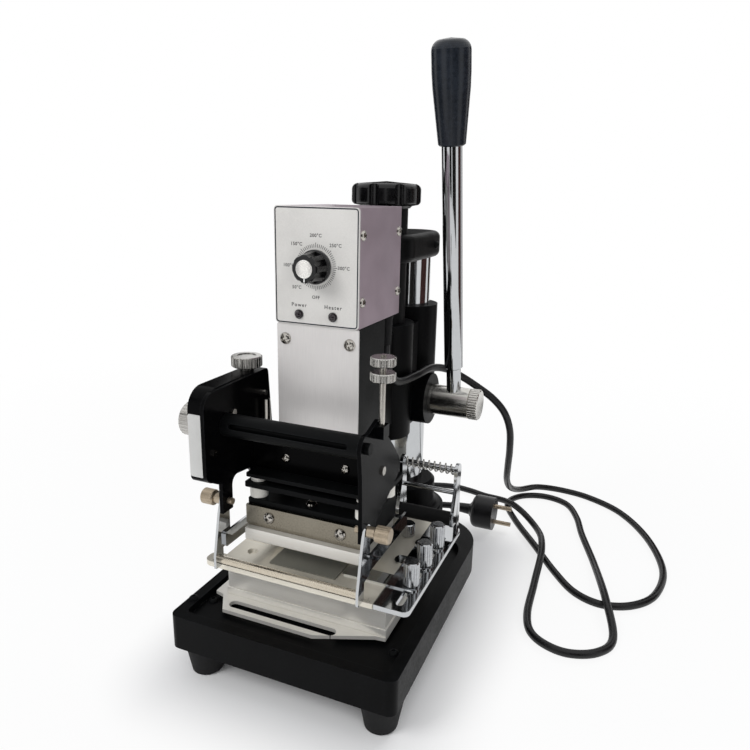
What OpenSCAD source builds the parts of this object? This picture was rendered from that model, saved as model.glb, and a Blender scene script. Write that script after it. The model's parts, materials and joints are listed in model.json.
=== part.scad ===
// Hand-lever hot foil stamping press for cards and leather, bench size.
// +X is the lever side, -Y the operator's side, +Z up; the origin is on the bench, under the base's middle.

/* [Base] */
// Width of the cast base
base_w = 186; // [176:1:210]
// Depth of the cast base, front edge to the back of the column lobe
base_d = 304; // [296:1:330]
// Height of the base casting above its feet
base_h = 28; // [24:1:36]
// Thickness of the base walls and tray rim
base_wall = 9; // [6:0.5:12]
// Depth of the tray below its rim
tray_depth = 6; // [4:0.5:8]
// Thickness of the tray floor
tray_floor_t = 7; // [5:0.5:9]
// Radius of the base's front corners
base_front_r = 7; // [4:0.5:12]
// Radius of the base's rear shoulders
base_rear_r = 50; // [40:1:60]
// Radius of the lobe that carries the column
lobe_r = 43; // [42:0.5:50]
// Height of a rubber foot
foot_h = 27.5; // [18:0.5:32]
// Diameter of a foot at its top
foot_top_d = 33; // [26:0.5:34]
// Diameter of a foot at the bench
foot_bottom_d = 24.5; // [18:0.5:28]

/* [Column] */
// Diameter of the chrome column
col_d = 40; // [36:0.5:44]
// Distance from the column's axis to the front of the control box
head_reach = 195; // [190:1:205]
// Diameter of the socket that holds the column
socket_d = 66; // [60:1:72]
// Height of the socket
socket_h = 30; // [24:1:40]
// Thickness of the top bracket
bracket_t = 24; // [20:1:34]
// Width of the top bracket
bracket_w = 55; // [52:0.5:62]
// Bare column between the head casting and the top bracket
col_bare = 45; // [36:1:54]
// Distance from the column's axis to the guide post's axis
post_gap = 65.5; // [65:0.5:72]
// Diameter of the guide post
post_d = 38; // [32:0.5:40]
// Length of the guide post above the top bracket
post_rise = 21; // [17:0.5:30]

/* [Height knob] */
// Diameter of the star knob
star_d = 59; // [50:1:70]
// Height of the star knob
star_h = 22; // [18:1:26]
// Number of finger scallops in the star knob
star_lobes = 8; // [6:1:12]
// Diameter of the height screw
screw_d = 10; // [8:0.5:11]

/* [Rack and pinion] */
// Gear module of the rack and pinion
gear_m = 1.5; // [1.5:0.25:1.5]
// Number of teeth on the pinion
pinion_teeth = 23; // [21:1:23]
// Face width of the pinion
pinion_w = 12; // [8:1:12]
// Number of teeth on the rack
rack_teeth = 13; // [11:1:15]
// Backlash between the teeth, measured along the pitch line
backlash = 0.3; // [0.2:0.05:0.5]

/* [Lever] */
// Distance from the machine's middle to the lever
lever_x = 60; // [56:0.5:64]
// Forward lean of the lever at rest, degrees
lever_lean = 11.5; // [8:0.5:16]
// Diameter of the lever rod
lever_d = 16.5; // [14:0.5:18]
// Distance from the pinion's axis to the top of the grip
lever_len = 303; // [260:1:320]
// Length of the grip
grip_l = 75; // [60:1:90]
// Largest diameter of the grip
grip_d = 30; // [26:0.5:34]
// Diameter of the lever hub
hub_d = 28; // [22:0.2:30]

/* [Table] */
// Width of the bed plate
bed_w = 138; // [136:1:144]
// Thickness of the bed plate and of the slotted plate under it
bed_t = 6; // [4:0.5:8]
// Width of the table block
block_w = 136; // [134:1:140]
// Height of the table block
block_h = 28; // [22:1:36]
// Thickness of the table plate
table_t = 4; // [3:0.5:6]
// Depth of the table block
block_d = 112; // [108:1:116]
// Width of the soft press pad
pad_w = 56; // [40:1:90]
// Thickness of the soft press pad
pad_t = 1; // [0.6:0.1:1.2]
// Diameter of a gauge thumbscrew
thumb_d = 12; // [9:0.5:14]
// Height of a gauge thumbscrew
thumb_h = 19; // [14:0.5:22]

/* [Heated head] */
// Gap between the die plate and the table with the head up
work_gap = 16; // [16:0.5:24]
// Width of the die plate
die_w = 97; // [80:1:102]
// Thickness of the die plate
die_t = 10.4; // [8:0.2:12]
// Height of the heater block
heater_h = 21.6; // [18:0.2:26]
// Width of the heater block
heater_w = 100; // [92:1:102]
// Height of an insulating bush
bush_h = 9; // [6:0.5:14]
// Diameter of an insulating bush
bush_d = 14; // [11:0.5:16]
// Thickness of the carrier plate over the insulators
carrier_t = 4; // [3:0.5:6]
// Height of the head housing
housing_h = 122.7; // [118:0.1:135]
// Inset of the head housing's sides from those of the control box
housing_inset = 0.5; // [0:0.25:3]
// Depth of the head housing
housing_d = 49; // [40:0.5:52]

/* [Control box] */
// Width of the control box
box_w = 66; // [64:0.5:72]
// Depth of the control box
box_d = 80; // [70:0.5:86]
// Height of the control box
box_h = 83; // [76:0.5:96]
// Thickness of its sheet metal
sheet_t = 1.5; // [1:0.1:2]
// Diameter of the dial knob
dial_d = 24; // [18:0.5:28]
// Height of the dial's axis above the bottom of the box
dial_rise = 42; // [38:0.5:52]

/* [Foil feed] */
// Distance between the inner faces of the foil side plates
foil_w = 108; // [106:0.5:114]
// Thickness of a side plate
side_t = 3; // [2:0.25:4]
// Diameter of the slotted foil spindle
spindle_d = 17; // [14:0.5:20]
// Width of the spindle's slot
spindle_slot = 4; // [2:0.25:5]
// Diameter of the spindle's journals
journal_d = 8; // [6:0.5:10]
// Diameter of the knurled spindle wheel
wheel_d = 25; // [18:0.5:28]
// Width of the drive cover on the left
cover_w = 15; // [12:0.5:18]
// Diameter of the tension thumbscrew on the drive cover
tension_d = 24; // [18:0.5:26]
// Diameter of a knurled nut on the brake stud
nut_d = 17.5; // [14:0.5:20]

/* [Rear roller] */
// Diameter of the rubber roller
roller_d = 12; // [9:0.5:14]
// Length of the roller frame between its arms
roller_l = 45; // [38:0.5:45]
// Wire diameter of the rod spring
spring_wire = 1.4; // [1:0.1:1.8]
// Number of curls in the rod spring
spring_curls = 9; // [6:1:12]

/* [Power cord] */
// Diameter of the mains lead
cord_d = 7.2; // [6:0.2:8]
// Diameter of the plug
plug_d = 37; // [30:0.5:40]

/* [Hidden] */
$fn = 48;
// Running clearance of a shaft or slide in its bore
run = 0.05;
// Clearance between faces that move past each other
gap = 0.3;

// Levels, from the bench upwards
rim_z = foot_h + base_h;
tray_z = rim_z - tray_depth;
bed_z = tray_z + bed_t;
block_z = bed_z + bed_t;
table_z = block_z + block_h;
table_top = table_z + table_t;
die_z = table_top + work_gap;
heater_z = die_z + die_t;
heater_top = heater_z + heater_h;
carrier_z = heater_top + bush_h;
housing_z = carrier_z + carrier_t;
box_z = housing_z + housing_h;
cast_z = housing_z + 1;
cast_top = box_z - 10;
bracket_z = cast_top + col_bare;
bracket_top = bracket_z + bracket_t;
post_top = bracket_top + post_rise;
col_top = bracket_top - 4;

// Stations along Y
base_front = -base_d / 2;
col_y = base_d / 2 - lobe_r;
post_y = col_y - post_gap;
front_y = col_y - head_reach;
deck_y = col_y - 52;
housing_y = front_y + 3;
housing_back = housing_y + housing_d;
housing_w = box_w - 2 * housing_inset;
col_r = col_d / 2;
post_r = post_d / 2;

// Rack and pinion: the rack's pitch line lies just inside the column's front
pitch_r = gear_m * pinion_teeth / 2;
pitch_y = col_y - col_r + 3;
shaft_y = pitch_y - pitch_r;
shaft_z = cast_z + 28;
tooth_pitch = PI * gear_m;
addendum = gear_m;
dedendum = 1.25 * gear_m;
tip_r = pitch_r + addendum;
rack_half_w = pinion_w / 2 + 1;
rack_back = 6;
rack_below = floor(rack_teeth / 2) + 2;
rack_z = shaft_z - (rack_below + 0.5) * tooth_pitch;
rack_h = rack_teeth * tooth_pitch;
pressure_angle = 20;

// Head casting
sleeve_r = col_r + 8;
post_boss_r = post_r + 8;
boss_r = tip_r + 5.2;
boss_x = 38;
journal_r = 13;
tail_r = 8;
cavity_r = tip_r + 0.55;
boss_left = -30;
cap_t = 5;
post_floor_z = cast_z + 50;
floor_t = 8;
pocket_r = screw_d / 2 + 5.3;
neck_half_w = 18;

// Foil frame
plate_x = foil_w / 2;
outer_x = plate_x + side_t;
spindle_y = front_y - 37.3;
spindle_z = housing_z + 52;
cover_front = front_y - 57;
cover_back = front_y + 22;
cover_z0 = housing_z + 11;
cover_z1 = housing_z + 81;
cover_wall = 2;
cover_r = 16;
panel_front = front_y - 2;
panel_z1 = housing_z + 36;
pivot_y = front_y - 37.6;
pivot_z = housing_z - 8;
stud_x = outer_x + 3.5;
stud_y = front_y - 20;
stud_d = 4;
stud_top = housing_z + 113;
stud_seat_z = housing_z + 64;
nut_h = 6;
lower_nut_z = stud_top - 18;
upper_nut_z = stud_top - 7.5;
tension_x = -outer_x - cover_w / 2;
tension_y = front_y + 8;

// Guide bail below the foil frame
bail_x = outer_x;
bail_t = 2;
bail_rod_r = 3.2;
bail_rod_y = front_y - 45.5;
bail_rod_z = die_z - 9;
rail_h = 12;
rail_back = front_y + 49;

// Table
table_back = front_y + 92;
table_half_w = 65;
block_front = front_y - 22.4;
lip_front = front_y - 41.3;
lip_back = front_y - 27;
lip_left = -76.8;
gauge_x1 = base_w / 2 - 1.5;
slot_x = gauge_x1 - 9.5;
slot_w = 5;
finger_t = 1.2;
thumb_y = [front_y - 8.6, front_y + 21.5, front_y + 52.6];
rear_thumb = [54, front_y + 61];
stud_r = slot_w / 2 - gap;
slot_plate_front = base_front + base_wall + 14;
slot_plate_half = base_w / 2 - base_wall - 5;
slot_plate_t = bed_t / 2;
slot_inset = 9.2;
nose_slot_w = 8.5;
nose_l = 17;

// Rear roller frame
roller_y = table_back - 14;
roller_z = table_top + 14;
arm_t = 3;
arm_x1 = gauge_x1 - 2.5;
arm_x0 = arm_x1 - arm_t - roller_l - arm_t;
rod_rise = 55.5;
rod_z = table_top + rod_rise;
rod_r = 2.5;
rod_y = table_back - 7;
arm_top = rod_z + 6;
knee_z = roller_z + 26;

// Points of an arc, counter-clockwise from angle a0 to a1
function arc(c, r, a0, a1, n = 8) = [for (i = [0:n]) c + r * [cos(a0 + (a1 - a0) * i / n),
    sin(a0 + (a1 - a0) * i / n)]];

// Rounded rectangle from corner a to corner b; radii run from the lower left corner, counter-clockwise
function round_box(a, b, r) = concat(
    arc([a[0] + r[0], a[1] + r[0]], r[0], 180, 270),
    arc([b[0] - r[1], a[1] + r[1]], r[1], 270, 360),
    arc([b[0] - r[2], b[1] - r[2]], r[2], 0, 90),
    arc([a[0] + r[3], b[1] - r[3]], r[3], 90, 180));

// Flat plate in the YZ plane, from x0, with its outline drawn in (y, z)
module plate_yz(x0, t) {
    translate([x0, 0, 0]) rotate([90, 0, 90]) linear_extrude(t) children();
}

// Flat plate in the XZ plane, from y0 towards +Y, with its outline drawn in (x, z)
module plate_xz(y0, t) {
    translate([0, y0 + t, 0]) rotate([90, 0, 0]) linear_extrude(t) children();
}

// Flat plate in the XY plane
module plate_xy(z0, t) {
    translate([0, 0, z0]) linear_extrude(t) children();
}

module rod_x(x0, x1, y, z, r) {
    translate([x0, y, z]) rotate([0, 90, 0]) cylinder(r = r, h = x1 - x0);
}

module rod_y(x, y0, y1, z, r) {
    translate([x, y0, z]) rotate([-90, 0, 0]) cylinder(r = r, h = y1 - y0);
}

module rod_z(x, y, z0, z1, r) {
    translate([x, y, z0]) cylinder(r = r, h = z1 - z0);
}

// Straight slot outline with round ends, from a to b
module slot_2d(a, b, w) {
    len_ab = norm(b - a);
    angle = atan2(b[1] - a[1], b[0] - a[0]);
    translate(a) rotate(angle) {
        translate([0, -w / 2]) square([len_ab, w]);
        circle(w / 2);
        translate([len_ab, 0]) circle(w / 2);
    }
}

// Knurled drum on the Z axis: a chamfered disc with grooves round its rim
module knurled(d, h, grooves, chamfer = 0.8) {
    groove_r = d * 0.035;
    difference() {
        rotate_extrude()
            polygon([[0, 0], [d / 2 - chamfer, 0], [d / 2, chamfer], [d / 2, h - chamfer],
                [d / 2 - chamfer, h], [0, h]]);
        for (i = [0:grooves - 1])
            rotate(i * 360 / grooves) translate([d / 2 + groove_r * 0.35, 0, -1])
                cylinder(r = groove_r, h = h + 2, $fn = 16);
    }
}

// Button head of a screw, seated at the origin and rising along +Z, with a hexagon or a cross recess
module button_head(d, h, cross_recess = false) {
    difference() {
        rotate_extrude() polygon(concat([[0, 0], [d / 2, 0]],
            [for (a = [15:15:75]) [d / 2 * cos(a), h * sin(a)]], [[0, h]]));
        if (cross_recess)
            for (a = [0, 90]) rotate(a + 20) translate([-d * 0.27, -d * 0.075, h * 0.4])
                cube([d * 0.54, d * 0.15, h]);
        else translate([0, 0, h * 0.45]) cylinder(d = d * 0.42, h = h, $fn = 6);
    }
}

// Sweeping a round tube along a list of points
function unit(v) = v / norm(v);
function tangent(p, i) = unit(p[min(i + 1, len(p) - 1)] - p[max(i - 1, 0)]);
function across(p, n, i = 0) = i == len(p) ? [] :
    let (t = tangent(p, i), m = unit(n - (n * t) * t)) concat([m], across(p, m, i + 1));
function catmull(a, b, c, d, t) = 0.5 * (2 * b + (c - a) * t + (2 * a - 5 * b + 4 * c - d) * t * t
    + (3 * b - a - 3 * c + d) * t * t * t);
function smooth(p, n) = concat(
    [for (i = [0:len(p) - 2]) for (k = [0:n - 1])
        catmull(p[max(i - 1, 0)], p[i], p[i + 1], p[min(i + 2, len(p) - 1)], k / n)], [p[len(p) - 1]]);

module tube(p, r, sides, n0) {
    n = across(p, n0);
    rings = len(p);
    last = (rings - 1) * sides;
    pts = [for (i = [0:rings - 1]) let (t = tangent(p, i), b = cross(t, n[i])) for (k = [0:sides - 1])
        p[i] + r * (cos(360 * k / sides) * n[i] + sin(360 * k / sides) * b)];
    caps = concat([for (k = [1:sides - 2]) [0, k + 1, k]],
        [for (k = [1:sides - 2]) [last, last + k, last + k + 1]]);
    walls = [for (i = [0:rings - 2]) for (k = [0:sides - 1])
        let (a = i * sides + k, b = i * sides + (k + 1) % sides)
            each [[a, b, b + sides], [a, b + sides, a + sides]]];
    polyhedron(points = pts, faces = [for (f = concat(caps, walls)) [f[0], f[2], f[1]]], convexity = 10);
}

// Least gap between neighbouring curls of a helix, measured on its points
function least_gap(p, per_turn, d) = min([for (i = [0:len(p) - 1])
    for (j = [i + per_turn - 2:min(i + per_turn + 2, len(p) - 1)])
    if (j < len(p)) norm(p[i] - p[j])]) - d;

// The base and what stands on it

module base_outline() {
    main_back = col_y - 15;
    half = base_w / 2;
    polygon(concat(
        arc([-half + base_front_r, base_front + base_front_r], base_front_r, 180, 270),
        arc([half - base_front_r, base_front + base_front_r], base_front_r, 270, 360),
        arc([half - base_rear_r, main_back - base_rear_r], base_rear_r, 0, 90, 16),
        arc([-half + base_rear_r, main_back - base_rear_r], base_rear_r, 90, 180, 16)));
    translate([0, col_y]) circle(lobe_r);
}

// The tray's recess: straight walls set in from the rim, ending in front of the column's deck
module tray_outline() {
    half = base_w / 2 - base_wall;
    polygon(round_box([-half, base_front + base_wall], [half, deck_y], [5, 5, 30, 30]));
}

foot_x = base_w / 2 - 18;
foot_front = base_front + 5 + foot_top_d / 2;
foot_back = col_y - 43;
foot_spots = [[-foot_x, foot_front], [foot_x, foot_front], [-foot_x + 7, foot_back], [foot_x - 7, foot_back]];
seat_r = foot_top_d / 2 + 2;

module base_casting() {
    color("#1d1f20") difference() {
        plate_xy(foot_h, base_h) base_outline();
        plate_xy(tray_z, tray_depth + 1) tray_outline();
        difference() {
            plate_xy(foot_h - 1, tray_z - tray_floor_t - foot_h + 1) tray_outline();
            for (p = foot_spots) rod_z(p[0], p[1], foot_h - 2, tray_z, seat_r);
        }
        rod_z(0, col_y, foot_h + 6, rim_z + 1, col_r);
    }
}

module rubber_feet() {
    color("#151515") for (p = foot_spots) translate([p[0], p[1], 0])
        rotate_extrude() polygon([[0, 0], [foot_bottom_d / 2 - 1, 0], [foot_bottom_d / 2, 1],
            [foot_top_d / 2, foot_h - 4], [foot_top_d / 2, foot_h], [0, foot_h]]);
}

module column_socket() {
    r = socket_d / 2;
    flare_r = r + 7.5;
    color("#1d1f20") translate([0, col_y, rim_z]) difference() {
        rotate_extrude() polygon(concat([[col_r, 0], [flare_r, 0], [flare_r, 1.5]],
            [for (a = [80:-20:0]) [flare_r - (flare_r - r) * cos(a),
                1.5 + (flare_r - r) * (1 - sin(a)) + 0.01]],
            [[r, socket_h - 3], [r - 3, socket_h], [col_r, socket_h]]));
        translate([0, 0, socket_h * 0.6]) rotate([0, 90, -90]) cylinder(r = 3, h = r + 1);
    }
}

module column() {
    color("#d8dadc") difference() {
        rod_z(0, col_y, foot_h + 6, col_top, col_r);
        translate([-rack_half_w, col_y - col_r - 1, rack_z])
            cube([2 * rack_half_w, pitch_y - col_y + col_r + 1 + rack_back, rack_h]);
    }
}

// Straight-sided rack, its teeth facing the operator
module rack() {
    half_tip = tooth_pitch / 4 - backlash / 4 - addendum * tan(pressure_angle);
    half_root = tooth_pitch / 4 - backlash / 4 + dedendum * tan(pressure_angle);
    root_y = pitch_y + dedendum;
    tip_y = pitch_y - addendum;
    back_y = pitch_y + rack_back;
    teeth = [for (i = [0:rack_teeth - 1]) let (z = rack_z + (i + 0.5) * tooth_pitch)
        each [[root_y, z - half_root], [tip_y, z - half_tip], [tip_y, z + half_tip],
            [root_y, z + half_root]]];
    color("#9aa0a4") plate_yz(-rack_half_w, 2 * rack_half_w)
        polygon(concat([[root_y, rack_z]], teeth,
            [[root_y, rack_z + rack_h], [back_y, rack_z + rack_h], [back_y, rack_z]]));
}

module top_bracket() {
    r = bracket_w / 2;
    edge = 6;
    side = concat([[0, 0]], arc([r - edge, edge], edge, 270, 360, 6),
        arc([r - edge, bracket_t - edge], edge, 0, 90, 6), [[0, bracket_t]]);
    bar = concat([for (p = side) p], [for (i = [len(side) - 2:-1:1]) [-side[i][0], side[i][1]]]);
    color("#232527") difference() {
        translate([0, 0, bracket_z]) {
            translate([0, col_y, 0]) rotate_extrude() polygon(side);
            translate([0, post_y, 0]) rotate_extrude() polygon(side);
            plate_xz(post_y, post_gap) polygon(bar);
        }
        rod_z(0, col_y, bracket_z - 1, col_top, col_r);
        rod_z(0, post_y, bracket_z - 1, bracket_top + 1, post_r);
    }
}

module guide_post() {
    color("#1b1c1e") difference() {
        rod_z(0, post_y, post_floor_z + 5, post_top, post_r);
        rod_z(0, post_y, post_floor_z, post_top + 1, screw_d / 2 + run);
    }
}

module base_fasteners() {
    color("#2c2e30") {
        translate([-base_w / 2 + base_wall / 2, base_front + 25, rim_z]) button_head(8, 3);
        for (s = [-1, 1]) translate([s * (base_w / 2 - base_wall - 6), base_front + 36, tray_z])
            button_head(8, 2.9);
        for (s = [-1, 1]) translate([s * bracket_w / 2, col_y - 8, bracket_z + bracket_t / 2])
            rotate([0, s * 90, 0]) button_head(7, 3);
        translate([0, col_y - socket_d / 2 + 4, rim_z + socket_h * 0.6]) rotate([90, 0, 0])
            cylinder(r = 3, h = 3);
    }
}

// The work table

// Slotted plate on a spacer, its nose standing out in front of the bed
module slotted_plate() {
    shoulder_y = slot_plate_front + nose_l;
    left = -block_w / 2 - 3;
    right = block_w / 2 - 7;
    back = table_back - 8;
    slot_y = slot_plate_front + slot_inset;
    color("#c9ccce") {
        plate_xy(tray_z + bed_t - slot_plate_t, slot_plate_t) difference() {
            polygon([[-slot_plate_half, back], [-slot_plate_half, shoulder_y + 2], [left, shoulder_y],
                [left + 11, slot_plate_front],
                [left + 89, slot_plate_front], [right, shoulder_y + 1], [block_w / 2 + 1, shoulder_y + 2],
                    [block_w / 2 + 1, back]]);
            slot_2d([left + 16, slot_y], [left + 100, slot_y], nose_slot_w);
        }
        plate_xy(tray_z, bed_t - slot_plate_t + 0.01)
            translate([left + 9, shoulder_y + 4]) square([right - left - 12, back - shoulder_y - 10]);
    }
}

module bed_plate() {
    color("#d0d3d5") plate_xy(bed_z, bed_t)
        translate([-bed_w / 2, block_front - 0.8]) square([bed_w, table_back - 4 - block_front + 0.8]);
}

module table_block() {
    color("#d5d7d8") plate_xy(block_z, block_h)
        translate([-block_w / 2, block_front]) square([block_w, block_d]);
}

module table_plate() {
    screws = [[-49, front_y - 15], [-49, front_y + 70], [20, front_y + 70]];
    color("#d9dbdc") difference() {
        plate_xy(table_z, table_t) {
            translate([-table_half_w, lip_back - 0.01])
                square([2 * table_half_w, table_back - lip_back + 0.01]);
            polygon(round_box([lip_left, lip_front], [table_half_w, lip_back], [6, 1, 1, 6]));
        }
        for (p = screws) translate([p[0], p[1], table_top - 2.2]) cylinder(r1 = 2.2, r2 = 4.4, h = 2.21);
        rod_z(rear_thumb[0], rear_thumb[1], table_z - 1, table_top + 1, stud_r + run);
    }
}

module press_pad() {
    color("#4a4c4d") plate_xy(table_top, pad_t)
        polygon(round_box([-pad_w / 2, front_y - 25], [pad_w / 2, front_y + 36], [1, 1, 1, 1]));
}

module gauge_plate() {
    color("#cfd2d4") plate_xy(table_z, table_t) difference() {
        polygon(round_box([table_half_w, lip_front], [gauge_x1, table_back], [1, 5, 5, 1]));
        slot_2d([slot_x, lip_front + 9], [slot_x, table_back - 24], slot_w);
    }
}

module gauge_fingers() {
    color("#c2c5c8") difference() {
        union() {
            plate_xy(table_top, finger_t) {
                polygon(round_box([29.5, thumb_y[0] - 7.5], [slot_x + 7, thumb_y[0] + 7], [2, 5, 5, 5]));
                polygon(round_box([58, thumb_y[1] - 6], [slot_x + 7, thumb_y[1] + 6], [5, 5, 5, 5]));
                polygon(round_box([64, thumb_y[2] - 6], [slot_x + 7, thumb_y[2] + 6], [5, 5, 5, 5]));
            }
        }
        for (y = thumb_y) rod_z(slot_x, y, table_top - 1, table_top + finger_t + 1, stud_r + run);
    }
}

// A thumbscrew standing on the gauge fingers, its stud through the slot to a round nut below
module gauge_thumbscrew(x, y, z) {
    nut_top = table_z - gap;
    color("#cdd0d3") translate([x, y, 0]) {
        translate([0, 0, z + gap]) knurled(thumb_d, thumb_h, 20);
        rod_z(0, 0, nut_top - 4, z + gap + 0.01, stud_r);
        rod_z(0, 0, nut_top - 3, nut_top, 4.4);
    }
}

module rear_thumbscrew() {
    color("#cdd0d3") translate([rear_thumb[0], rear_thumb[1], table_top + gap]) {
        knurled(thumb_d, 0.6 * thumb_h, 20);
        rod_z(0, 0, 0.3 - table_t, 0.01, stud_r);
    }
}

module roller_arm_outline() {
    polygon(concat([[roller_y - 5, roller_z - 5], [roller_y + 5, roller_z - 5], [rod_y - 1, roller_z + 16],
        [rod_y + 1, table_top + 12], [rod_y + 1, table_top], [table_back, table_top],
        [table_back, table_top + 14], [rod_y + 5, knee_z]],
        arc([rod_y, rod_z], 6, 0, 180, 10), [[rod_y - 5, knee_z], [roller_y - 5, roller_z + 4]]));
}

module roller_frame() {
    color("#c4c7ca") {
        for (x = [arm_x0, arm_x1 - arm_t]) difference() {
            plate_yz(x, arm_t) roller_arm_outline();
            rod_x(x - 1, x + arm_t + 1, roller_y, roller_z, rod_r + run);
        }
        rod_x(arm_x0 + arm_t, arm_x1 - arm_t, rod_y, rod_z, rod_r);
        rod_x(arm_x0 + arm_t, arm_x1 - arm_t, rod_y - 2, roller_z + 22, 2);
    }
}

module rear_roller() {
    x0 = arm_x0 + arm_t;
    color("#17181a") {
        rod_x(x0 + gap, x0 + roller_l - gap, roller_y, roller_z, roller_d / 2);
        rod_x(arm_x0 - 1, arm_x1 + 2, roller_y, roller_z, rod_r);
    }
}

// Compression spring on the roller frame's upper rod
spring_mean_r = rod_r + spring_wire / 2 + 0.6;
spring_l = roller_l - spring_wire + 0.1;
spring_rings = 8;
spring_path = [for (i = [0:spring_curls * spring_rings]) let (a = 360 * i / spring_rings)
    [arm_x0 + arm_t + spring_wire / 2 - 0.05 + spring_l * i / (spring_curls * spring_rings),
        rod_y + spring_mean_r * cos(a), rod_z + spring_mean_r * sin(a)]];

module rod_spring() {
    echo(rod_spring_gap = least_gap(spring_path, spring_rings, spring_wire));
    color("#b9bdc0") tube(spring_path, spring_wire / 2, 6, [0, 1, 0]);
}

// Height adjustment and return spring

nut_z = cast_z + 4;
nut_t = 4;

module height_screw() {
    color("#8d9296") {
        rod_z(0, post_y, nut_z - 4, post_top + 10, screw_d / 2);
        rod_z(0, post_y, nut_z, nut_z + nut_t, pocket_r - 1);
    }
}

module star_knob() {
    r = star_d / 2;
    scallop_r = star_d * 0.1;
    color("#141516") translate([0, post_y, post_top + gap]) difference() {
        rotate_extrude() polygon(concat([[screw_d / 2, 0], [r - 9, 0], [r - 7, 2], [r - 1.5, 3]],
            arc([r - 3, 6], 3, 270, 360, 4), arc([r - 5, star_h - 7], 5, 0, 80, 6),
                [[r * 0.4, star_h - 1], [0, star_h], [0, 9.7], [screw_d / 2, 9.7]]));
        for (i = [0:star_lobes - 1])
            rotate(i * 360 / star_lobes) translate([r + scallop_r * 0.45, 0, -1])
                cylinder(r = scallop_r, h = star_h + 2);
    }
}

return_wire = 2.2;
return_curls = 6;
return_rings = 8;
return_z0 = nut_z + nut_t + gap + return_wire / 2;
return_z1 = post_floor_z - floor_t - return_wire / 2 + 0.05;
return_mean_r = pocket_r - 1 - return_wire / 2;
return_path = [for (i = [0:return_curls * return_rings]) let (a = 360 * i / return_rings)
    [return_mean_r * cos(a), post_y + return_mean_r * sin(a),
        return_z0 + (return_z1 - return_z0) * i / (return_curls * return_rings)]];

module return_spring() {
    echo(return_spring_gap = least_gap(return_path, return_rings, return_wire));
    color("#7e8387") tube(return_path, return_wire / 2, 6, [1, 0, 0]);
}

// The sliding head

module main_casting() {
    color("#1f2123") difference() {
        union() {
            rod_z(0, col_y, cast_z, cast_top, sleeve_r);
            rod_z(0, post_y, cast_z, cast_top - 8, post_boss_r);
            translate([-18, post_y, cast_z]) cube([36, post_gap, cast_top - cast_z - 14]);
            rod_x(boss_left, boss_x, shaft_y, shaft_z, boss_r);
            translate([-neck_half_w, housing_back, cast_z + 16])
                cube([2 * neck_half_w, post_y - housing_back, cast_top - cast_z - 30]);
        }
        rod_z(0, col_y, cast_z - 1, cast_top + 1, col_r + run);
        rod_z(0, post_y, post_floor_z, cast_top + 1, post_r + run);
        rod_z(0, post_y, cast_z - 1, cast_top, screw_d / 2 + 0.6);
        rod_z(0, post_y, cast_z - 1, post_floor_z - floor_t, pocket_r);
        rod_x(boss_left - 1, pinion_w / 2 + 3, shaft_y, shaft_z, cavity_r);
        rod_x(0, boss_x + 1, shaft_y, shaft_z, journal_r + run);
    }
}

module bearing_cap() {
    color("#26282a") difference() {
        rod_x(boss_left - cap_t, boss_left, shaft_y, shaft_z, cavity_r + 3);
        rod_x(boss_left - cap_t - 1, boss_left + 1, shaft_y, shaft_z, tail_r + run);
    }
}

module head_housing() {
    wall = 3;
    color("#232426") difference() {
        translate([-housing_w / 2, housing_y, housing_z]) cube([housing_w, housing_d, housing_h]);
        translate([-housing_w / 2 + wall, housing_y - 1, housing_z + 6])
            cube([housing_w - 2 * wall, housing_d - 5 + 1, housing_h - 10]);
    }
}

module front_plate() {
    color("#cfd0d0") plate_xz(housing_y - sheet_t, sheet_t)
        polygon(round_box([-box_w / 2 + 0.1, panel_z1], [box_w / 2 - 0.1, box_z - 0.4], [0.5, 0.5, 1, 1]));
}

// Chassis of the control box: front panel, floor and back in one bent sheet
module box_chassis() {
    inner = box_w / 2 - sheet_t;
    color("#d6d6d4") difference() {
        union() {
            plate_xz(front_y, sheet_t)
                polygon(round_box([-box_w / 2, box_z], [box_w / 2, box_z + box_h], [2.5, 2.5, 2.5, 2.5]));
            translate([-inner, front_y + sheet_t - 0.01, box_z]) cube([2 * inner, box_d - sheet_t, sheet_t]);
            translate([-inner, front_y + box_d - sheet_t - 0.01, box_z])
                cube([2 * inner, sheet_t, box_h - sheet_t]);
        }
        rod_y(0, front_y - 1, front_y + sheet_t + 1, box_z + dial_rise, 3.5);
        rod_z(relief_x, relief_y, box_z - 1, box_z + sheet_t + 1, relief_neck_r);
        for (s = [-1, 1]) rod_y(s * lamp_x, front_y - 1, front_y + sheet_t + 1, box_z + lamp_rise,
            lamp_r - 0.6);
    }
}

// Cover of the control box: top and both sides in one bent sheet, screwed on from the sides
module box_cover() {
    color("#c3c1c4") difference() {
        translate([-box_w / 2, front_y + sheet_t, box_z]) cube([box_w, box_d - sheet_t, box_h]);
        translate([-box_w / 2 + sheet_t, front_y + sheet_t - 1, box_z - 1])
            cube([box_w - 2 * sheet_t, box_d + 2, box_h - sheet_t + 1]);
    }
}

lamp_x = box_w * 0.2045;
lamp_rise = 7.6;
lamp_r = 3.4;

// Thermostat behind the panel, its spindle through the dial hole
module thermostat() {
    color("#8a8d90") {
        translate([-14, front_y + sheet_t, box_z + dial_rise - 12]) cube([28, 22, 24]);
        rod_y(0, front_y - 9, front_y + sheet_t, box_z + dial_rise, 3);
    }
}

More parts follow.
